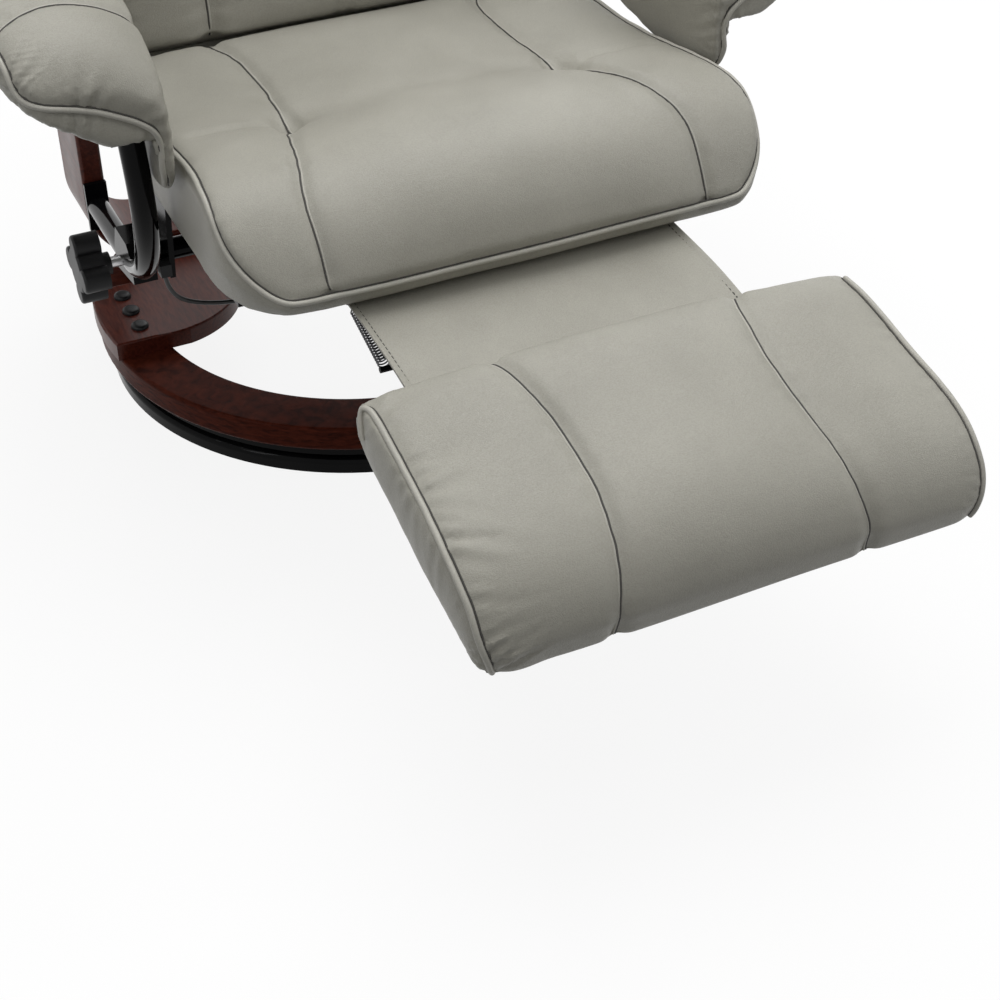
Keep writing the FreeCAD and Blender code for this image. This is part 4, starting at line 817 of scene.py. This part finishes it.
# %% Back cover
rear_way = [(0, math.cos(LEAN), -math.sin(LEAN))]
back = stuffed("back_cushion", "back_leather", 0.0064, 4.0, 0.006,
               [back_seam, mirror_line(back_seam), lumbar, back_edge, mirror_line(back_edge)], rear_way)
pressed(back, [back_seam, mirror_line(back_seam)], 0.006, 0.012, 0.0008, 0.028)
pressed(back, center_seams, 0.002, 0.006)
pressed(back, [lumbar], 0.006, 0.018, 0.0010, 0.03)
pressed(back, [back_edge, mirror_line(back_edge)], 0.004, 0.010, 0.0012, 0.022)
crumpled(back, 0.0020, 8.0, 3)
co = places(back)
up = (co[:, 1] - HINGE[1]) * math.sin(LEAN) + (co[:, 2] - HINGE[2]) * math.cos(LEAN)
front = np.clip(-vertex_normals(back)[:, 1], 0, 1)
fuller = 0.006 * np.clip((0.045 - up) / 0.040, 0, 1) ** 2
set_places(back, co + np.outer(fuller * front, (0, -math.cos(LEAN), math.sin(LEAN))))
dressed(back, "backrest", ["back_cushion"])
for side, line in (("right", back_seam), ("left", mirror_line(back_seam))):
    seamed("back_seam_" + side, back, line, "backrest", 1)
tube("back_lumbar_seam", laid_on(back, lumbar, SEAM_LIFT), SEAM_RADIUS, SEAM_SHADE_AND_DARK_THREAD, "backrest")
for side, line in (("right", back_edge), ("left", mirror_line(back_edge))):
    piped("back_piping_" + side, back, line, "backrest", 1 if side == "right" else -1)

# %% [markdown]
# The head pillow is a smaller pad of the same make, above the edge of the photograph.

# %% Head pillow
head_seam = along_line(on_back([(-150, 516, 50), (-150, 560, 84), (-150, 620, 88), (-150, 680, 54)]))
head_edge = along_line(on_back([(-228, 516, 44), (-240, 560, 62), (-239, 620, 62), (-226, 680, 36),
                                (-205, 698, 18)]))
head = stuffed("head_pillow", "head_leather", 0.006, 4.0, 0.006,
               [head_seam, mirror_line(head_seam), head_edge, mirror_line(head_edge)], rear_way)
pressed(head, [head_seam, mirror_line(head_seam)], 0.005, 0.012, 0.0009, 0.026)
pressed(head, [head_edge, mirror_line(head_edge)], 0.004, 0.010, 0.0012, 0.022)
crumpled(head, 0.0025, 9.0, 4)
dressed(head, "backrest", ["head_pillow"])
for side, line in (("right", head_seam), ("left", mirror_line(head_seam))):
    seamed("head_seam_" + side, head, line, "backrest", 1)
for side, line in (("right", head_edge), ("left", mirror_line(head_edge))):
    piped("head_piping_" + side, head, line, "backrest", 1 if side == "right" else -1)

# %% [markdown]
# The rear of the back is a board under tight leather: rounded edges, a slight swell, piping
# round its rim and one seam across it where two hides meet.

# %% Back shell
shell = stuffed("back_shell", "shell_leather", 0.0070, 1.0, 0.002, [back_edge],
                [(0, -math.cos(LEAN), math.sin(LEAN))], smooth=14)
crumpled(shell, 0.0012, 6.0, 5)
co = places(shell)
shell_up = (co[:, 1] - HINGE[1]) * math.sin(LEAN) + (co[:, 2] - HINGE[2]) * math.cos(LEAN)
shell_rear = (co[:, 1] - HINGE[1]) * math.cos(LEAN) - (co[:, 2] - HINGE[2]) * math.sin(LEAN)
middle = np.clip(1 - (co[:, 0] / 0.235) ** 2, 0, 1)
middle *= np.clip(1 - ((shell_up - shell_up.mean()) / 0.33) ** 2, 0, 1)
swell = 0.006 * middle * (shell_rear > shell_rear.mean())
set_places(shell, co + np.outer(swell, rear_way[0]))
dressed(shell, "backrest", ["back_shell"])

# %% [markdown]
# The rim and the seam are laid out from the shell's own measured edges, so they follow it.

# %% Shell piping
low, high = shell_up.min() / MM + 9, shell_up.max() / MM - 9
wide, rear = np.abs(co[:, 0]).max() / MM - 9, -shell_rear.max() / MM + 1
rim_half = on_back([(0, low, rear), (-wide + 60, low, rear), (-wide + 14, low + 4, rear),
                    (-wide, low + 22, rear), (-wide, (low + high) / 2, rear), (-wide, high - 22, rear),
                    (-wide + 14, high - 4, rear), (-wide + 60, high, rear), (0, high, rear)])
rim = both_sides(along_line(rim_half))
piped("shell_piping", shell, rim, "backrest", 1)
across = along_line(on_back([(-wide, low + 0.68 * (high - low), rear), (0, low + 0.68 * (high - low), rear),
                             (wide, low + 0.68 * (high - low), rear)]))
seamed("shell_seam", shell, across, "backrest", 1)

# %% [markdown]
# One arm is stuffed and dressed, and its mesh is mirrored for the other side.

# %% Arms
front_piping = mm([(-297, -296, 404), (-296, -307, 418), (-296, -309, 433), (-294, -309, 450),
                   (-299, -309, 466), (-314, -309, 479), (-331, -309, 488), (-350, -309, 497),
                   (-374, -309, 504), (-394, -307, 508), (-408, -298, 512), (-413, -288, 520),
                   (-415, -276, 536), (-417, -250, 545), (-420, -190, 547), (-421, -80, 549),
                   (-421, 60, 549), (-419, 160, 547), (-411, 216, 537), (-394, 238, 520)])
cross_seam = mm([(-283, -217, 528), (-290, -218, 542), (-302, -220, 549), (-331, -223, 562),
                 (-356, -224, 567), (-381, -228, 566), (-405, -236, 559), (-418, -242, 546)])
arm_lines = [along_line(front_piping), along_line(cross_seam)]
print("arm piping in steps of 4 mm:", len(arm_lines[0]))
arm = stuffed("right_arm_pad", "right_arm_leather", 0.0055, 4.0, 0.0045, arm_lines, [(0, 0, -1)])
pressed(arm, arm_lines[:1], 0.003, 0.010, 0.0016, 0.012)
pressed(arm, arm_lines[:1], 0.0, 0.018, 0.0011, 0.014)
pressed(arm, arm_lines[1:], 0.0035, 0.008, 0.0006, 0.024)
crumpled(arm, 0.0012, 10.0, 6)

# %% [markdown]
# The second arm is the first one mirrored. Mirroring turns the faces inside out, so its
# normals are made consistent again.

# %% Second arm
other_arm = bpy.data.objects.new("left_arm_leather", arm.data.copy())
bpy.context.scene.collection.objects.link(other_arm)
set_places(other_arm, places(other_arm) * np.array([-1, 1, 1]))
only(other_arm)
bpy.ops.object.mode_set(mode="EDIT")
bpy.ops.mesh.select_all(action="SELECT")
bpy.ops.mesh.normals_make_consistent(inside=False)
bpy.ops.object.mode_set(mode="OBJECT")
dressed(arm, "turntable", ["right_arm_pad"])
dressed(other_arm, "turntable", ["left_arm_pad"])
for side, turn, made in (("right", 1, arm), ("left", -1, other_arm)):
    flip = np.array([turn, 1, 1])
    piped(side + "_arm_piping", made, arm_lines[0] * flip, "turntable", turn)
    seamed(side + "_arm_seam", made, arm_lines[1] * flip, "turntable", turn)

# %% [markdown]
# The flap is one sheet of leather with a stitched hem along both sides. It hides the linkage
# and gathers under the seat when the footrest folds, so it flattens towards the seat front.

# %% Flap
FLAP_LINE = along_line(mm([(0, -415, 320.5), (0, -440, 320), (0, -525, 314.5), (0, -609, 304)]), 0.006)
HALF_FLAP = 0.172
bpy.ops.object.select_all(action="DESELECT")
bpy.ops.mesh.primitive_grid_add(x_subdivisions=120, y_subdivisions=len(FLAP_LINE) - 1, size=2.0)
flap = bpy.context.object
flap.name = "flap_leather"
grid = places(flap)
steps = np.clip(np.rint((grid[:, 1] + 1) * 0.5 * (len(FLAP_LINE) - 1)).astype(int), 0, len(FLAP_LINE) - 1)
sag = 0.003 * (1 - grid[:, 0] ** 2) * np.sin(np.linspace(0, math.pi, len(FLAP_LINE)))[steps]
hem = 0.0014 * (np.abs(grid[:, 0]) > 0.972)
rise = FLAP_LINE[steps, 2] - sag + hem
set_places(flap, np.stack([grid[:, 0] * HALF_FLAP, FLAP_LINE[steps, 1], rise], axis=1))
only(flap)
wall = flap.modifiers.new("wall", "SOLIDIFY")
wall.thickness = 0.0022
wall.offset = -1
bpy.ops.object.modifier_apply(modifier="wall")
crumpled(flap, 0.0020, 10.0, 7)
flap.data.materials.append(GREY_LEATHER)
bpy.ops.object.shade_smooth_by_angle(angle=math.radians(40))
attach(flap, "seat")
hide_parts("flap")
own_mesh(flap)
print("flap faces", len(flap.data.polygons))

# %% [markdown]
# A hem is held by a row of short stitches. Each one is a little tube, a whole row is joined
# into one piece, and the rows on the flap are carried by the seat, as the flap is.

# %% Stitches


def stitches(name, line, body, thread_finish, length=0.0046, gap=0.0022, radius=0.0005):
    """A row of short threads along a line, joined into one piece."""
    far = np.concatenate([[0], np.cumsum(np.linalg.norm(np.diff(line, axis=0), axis=1))])
    at = 0.0
    threads = []
    while at + length < far[-1]:
        where = np.array([at, at + 0.5 * length, at + length])
        spots = np.stack([np.interp(where, far, line[:, k]) for k in range(3)], axis=1)
        spots[1, 2] += 0.0003
        threads.append(tube(name + "_thread", spots, radius, thread_finish, None, sides=1))
        at += length + gap
    bpy.ops.object.select_all(action="DESELECT")
    for thread in threads:
        thread.select_set(True)
    bpy.context.view_layer.objects.active = threads[0]
    bpy.ops.object.join()
    made = bpy.context.object
    made.name = name
    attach(made, body)
    return made


for side, turn in (("right", -1), ("left", 1)):
    hem_line = FLAP_LINE + np.array([turn * 0.1662, 0, 0.0016])
    row = stitches(side + "_flap_stitches", hem_line[3:], "seat", SEAM_SHADE_AND_DARK_THREAD, radius=0.0009)
    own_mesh(row)
for number, line in enumerate(center_seams):
    stitches("back_topstitch_%d" % (number + 1), laid_on(back, line[8:], 0.0004), "backrest", STITCH_THREAD)

# %% [markdown]
# A strip of leather closes the gap between the seat and the back, so that nothing drops
# through. It is sewn to both.

# %% Gap strip
strip_low = np.array([0, 1.2, 318]) * MM
strip_high = on_back([(0, 4, 24)])[0] - np.array([0, 0.4, 1.2]) * MM
bpy.ops.object.select_all(action="DESELECT")
bpy.ops.mesh.primitive_grid_add(x_subdivisions=40, y_subdivisions=12, size=2.0)
strip = bpy.context.object
strip.name = "gap_strip_leather"
grid = places(strip)
share = (grid[:, 1:2] + 1) * 0.5
spots = strip_low + (strip_high - strip_low) * share
spots[:, 0] = grid[:, 0] * 0.215
spots[:, 1] += 0.004 * np.sin(share[:, 0] * math.pi)
set_places(strip, spots)
only(strip)
wall = strip.modifiers.new("wall", "SOLIDIFY")
wall.thickness = 0.0018
wall.offset = 0
bpy.ops.object.modifier_apply(modifier="wall")
crumpled(strip, 0.0006, 18.0, 8)
strip.data.materials.append(GREY_LEATHER)
bpy.ops.object.shade_smooth_by_angle(angle=math.radians(40))
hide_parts("gap_strip")
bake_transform(strip)
print("gap strip faces", len(strip.data.polygons))

# %% [markdown]
# Each bolt in a foot plate is hidden by a moulded cap with a flat top and a round rim. A
# sphere pressed flat gives that shape. One cap is made, copied to every bolt, and joined.

# %% Bolt caps
CAP_SPOTS = [(side * 275, y, 88) for side in (-1, 1) for y in (-22, 13, 48)]
caps = []
for spot in CAP_SPOTS:
    bpy.ops.object.select_all(action="DESELECT")
    bpy.ops.mesh.primitive_uv_sphere_add(segments=32, ring_count=16, radius=1.0)
    cap = bpy.context.object
    ball = places(cap)
    round_off = np.clip(1 - np.hypot(ball[:, 0], ball[:, 1]) ** 5, 0, 1) ** 0.5
    rise = np.where(ball[:, 2] > 0, 0.0036 * round_off + 0.0012, 0.0)
    set_places(cap, np.stack([ball[:, 0] * 0.010, ball[:, 1] * 0.010, rise], axis=1) + mm([spot]))
    caps.append(cap)
bpy.ops.object.select_all(action="DESELECT")
for cap in caps:
    cap.select_set(True)
bpy.context.view_layer.objects.active = caps[0]
bpy.ops.object.join()
cap_set = bpy.context.object
cap_set.name = "bolt_cap_set"
cap_set.data.materials.append(BLACK_PLASTIC)
bpy.ops.object.shade_smooth_by_angle(angle=math.radians(50))
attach(cap_set, "turntable")
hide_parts("bolt_caps")
print("bolt caps", len(caps))

# %% [markdown]
# Each spring is drawn again as a coil of wire, in place of its solid.

# %% Springs
SPRING_WAY = Vector((0, 0.9556, 0.2945))
COIL_RADIUS = 5.5 * MM
HALF_COIL = 35.5 * MM
COIL_TURNS = 21
spin = np.linspace(0, COIL_TURNS * 2 * math.pi, COIL_TURNS * 16 + 1)
for side, turn in (("right", -1), ("left", 1)):
    along = np.linspace(-HALF_COIL, HALF_COIL, len(spin))
    cross = np.array(SPRING_WAY.cross(Vector((1, 0, 0))))
    coil_line = mm([(turn * 146, -416.4, 269.8)]) + np.outer(along, SPRING_WAY)
    coil_line = coil_line + COIL_RADIUS * (np.outer(np.cos(spin), (1, 0, 0)) + np.outer(np.sin(spin), cross))
    coil = tube(side + "_spring_coil", coil_line, 0.85 * MM, SPRING_STEEL, "seat", sides=2)
    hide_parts(side + "_spring")
    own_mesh(coil)

# %% [markdown]
# A pale floor and large soft lamps: bright from above, dim from the front, as in the
# photograph, where the tops are light and the fronts fall into shade.

# %% Floor and light
bpy.ops.object.select_all(action="DESELECT")
bpy.ops.mesh.primitive_plane_add(size=14.0, location=(0, 0, 0))
floor = bpy.context.object
floor.name = "studio_floor"
floor_finish, nodes, link, shader = finish_base("floor_white")
shader.inputs["Roughness"].default_value = 0.9
shader.inputs["Specular IOR Level"].default_value = 0.1
tint = nodes.new("ShaderNodeMixRGB")
tint.inputs["Color1"].default_value = (0.22, 0.22, 0.22, 1)
tint.inputs["Color2"].default_value = (0.93, 0.93, 0.93, 1)
bright = nodes.new("ShaderNodeEmission")
bright.inputs["Color"].default_value = (1, 1, 1, 1)
bright.inputs["Strength"].default_value = 1.0
floor_ray = nodes.new("ShaderNodeLightPath")
direct = nodes.new("ShaderNodeMath")
direct.operation = "MAXIMUM"
direct_or_bent = nodes.new("ShaderNodeMath")
direct_or_bent.operation = "MAXIMUM"
part_white = nodes.new("ShaderNodeMath")
part_white.operation = "MULTIPLY"
part_white.inputs[1].default_value = 0.88
blend_floor = nodes.new("ShaderNodeMixShader")
link(floor_ray.outputs["Is Camera Ray"], direct.inputs[0])
link(floor_ray.outputs["Is Glossy Ray"], direct.inputs[1])
link(direct.outputs["Value"], direct_or_bent.inputs[0])
link(floor_ray.outputs["Is Transmission Ray"], direct_or_bent.inputs[1])
link(direct_or_bent.outputs["Value"], tint.inputs["Fac"])
link(tint.outputs["Color"], shader.inputs["Base Color"])
link(direct_or_bent.outputs["Value"], part_white.inputs[0])
link(part_white.outputs["Value"], blend_floor.inputs["Fac"])
link(shader.outputs["BSDF"], blend_floor.inputs[1])
link(bright.outputs["Emission"], blend_floor.inputs[2])
link(blend_floor.outputs["Shader"], nodes["Material Output"].inputs["Surface"])
floor.data.materials.append(floor_finish)

# %% [markdown]
# The sky lights the part softly from above, dimmer near the horizon. The camera and every
# mirror-like surface see plain white instead.

# %% World
world = bpy.data.worlds.new("studio")
bpy.context.scene.world = world
world.use_nodes = True
nodes = world.node_tree.nodes
ray = nodes.new("ShaderNodeLightPath")
seen = nodes.new("ShaderNodeMath")
seen.operation = "MAXIMUM"
seen_or_bent = nodes.new("ShaderNodeMath")
seen_or_bent.operation = "MAXIMUM"
white = nodes.new("ShaderNodeBackground")
white.inputs["Color"].default_value = (1, 1, 1, 1)
dim = nodes["Background"]
dim.inputs["Color"].default_value = (1, 1, 1, 1)
dim.inputs["Strength"].default_value = 0.62
facing = nodes.new("ShaderNodeTexCoord")
height = nodes.new("ShaderNodeSeparateXYZ")
sky = nodes.new("ShaderNodeValToRGB")
sky.color_ramp.elements[0].position = 0.05
sky.color_ramp.elements[0].color = (0.13, 0.13, 0.13, 1)
sky.color_ramp.elements[1].position = 0.85
sky.color_ramp.elements[1].color = (1, 1, 1, 1)
choose = nodes.new("ShaderNodeMixShader")
link = world.node_tree.links.new
link(facing.outputs["Generated"], height.inputs["Vector"])
link(height.outputs["Z"], sky.inputs["Fac"])
link(sky.outputs["Color"], dim.inputs["Color"])
link(ray.outputs["Is Camera Ray"], seen.inputs[0])
link(ray.outputs["Is Glossy Ray"], seen.inputs[1])
link(seen.outputs["Value"], seen_or_bent.inputs[0])
link(ray.outputs["Is Transmission Ray"], seen_or_bent.inputs[1])
link(seen_or_bent.outputs["Value"], choose.inputs["Fac"])
link(dim.outputs["Background"], choose.inputs[1])
link(white.outputs["Background"], choose.inputs[2])
link(choose.outputs["Shader"], nodes["World Output"].inputs["Surface"])

# %% [markdown]
# One large softbox overhead, one behind, and two narrow strips that draw bright lines on the
# tubes.

# %% Lamps


def lamp(name, place, aim, size, power):
    bpy.ops.object.light_add(type="AREA", location=place)
    made = bpy.context.object
    made.name = name
    made.data.shape = "RECTANGLE"
    made.data.size, made.data.size_y = size
    made.data.energy = power
    made.rotation_euler = (Vector(aim) - Vector(place)).to_track_quat("-Z", "Y").to_euler()


lamp("top_softbox", (0.2, 0.3, 3.4), (0, -0.3, 0.3), (2.6, 2.6), 69)
lamp("rear_softbox", (1.6, 2.2, 2.4), (0, -0.3, 0.4), (2.0, 2.0), 20)
lamp("left_strip", (-2.4, -0.9, 1.9), (0, -0.2, 0.3), (0.3, 1.4), 8)
lamp("right_strip", (2.2, -1.4, 1.7), (0, -0.3, 0.3), (0.25, 1.2), 11)
bpy.context.scene.view_settings.view_transform = "Standard"
print("lamps", len(bpy.data.lights))
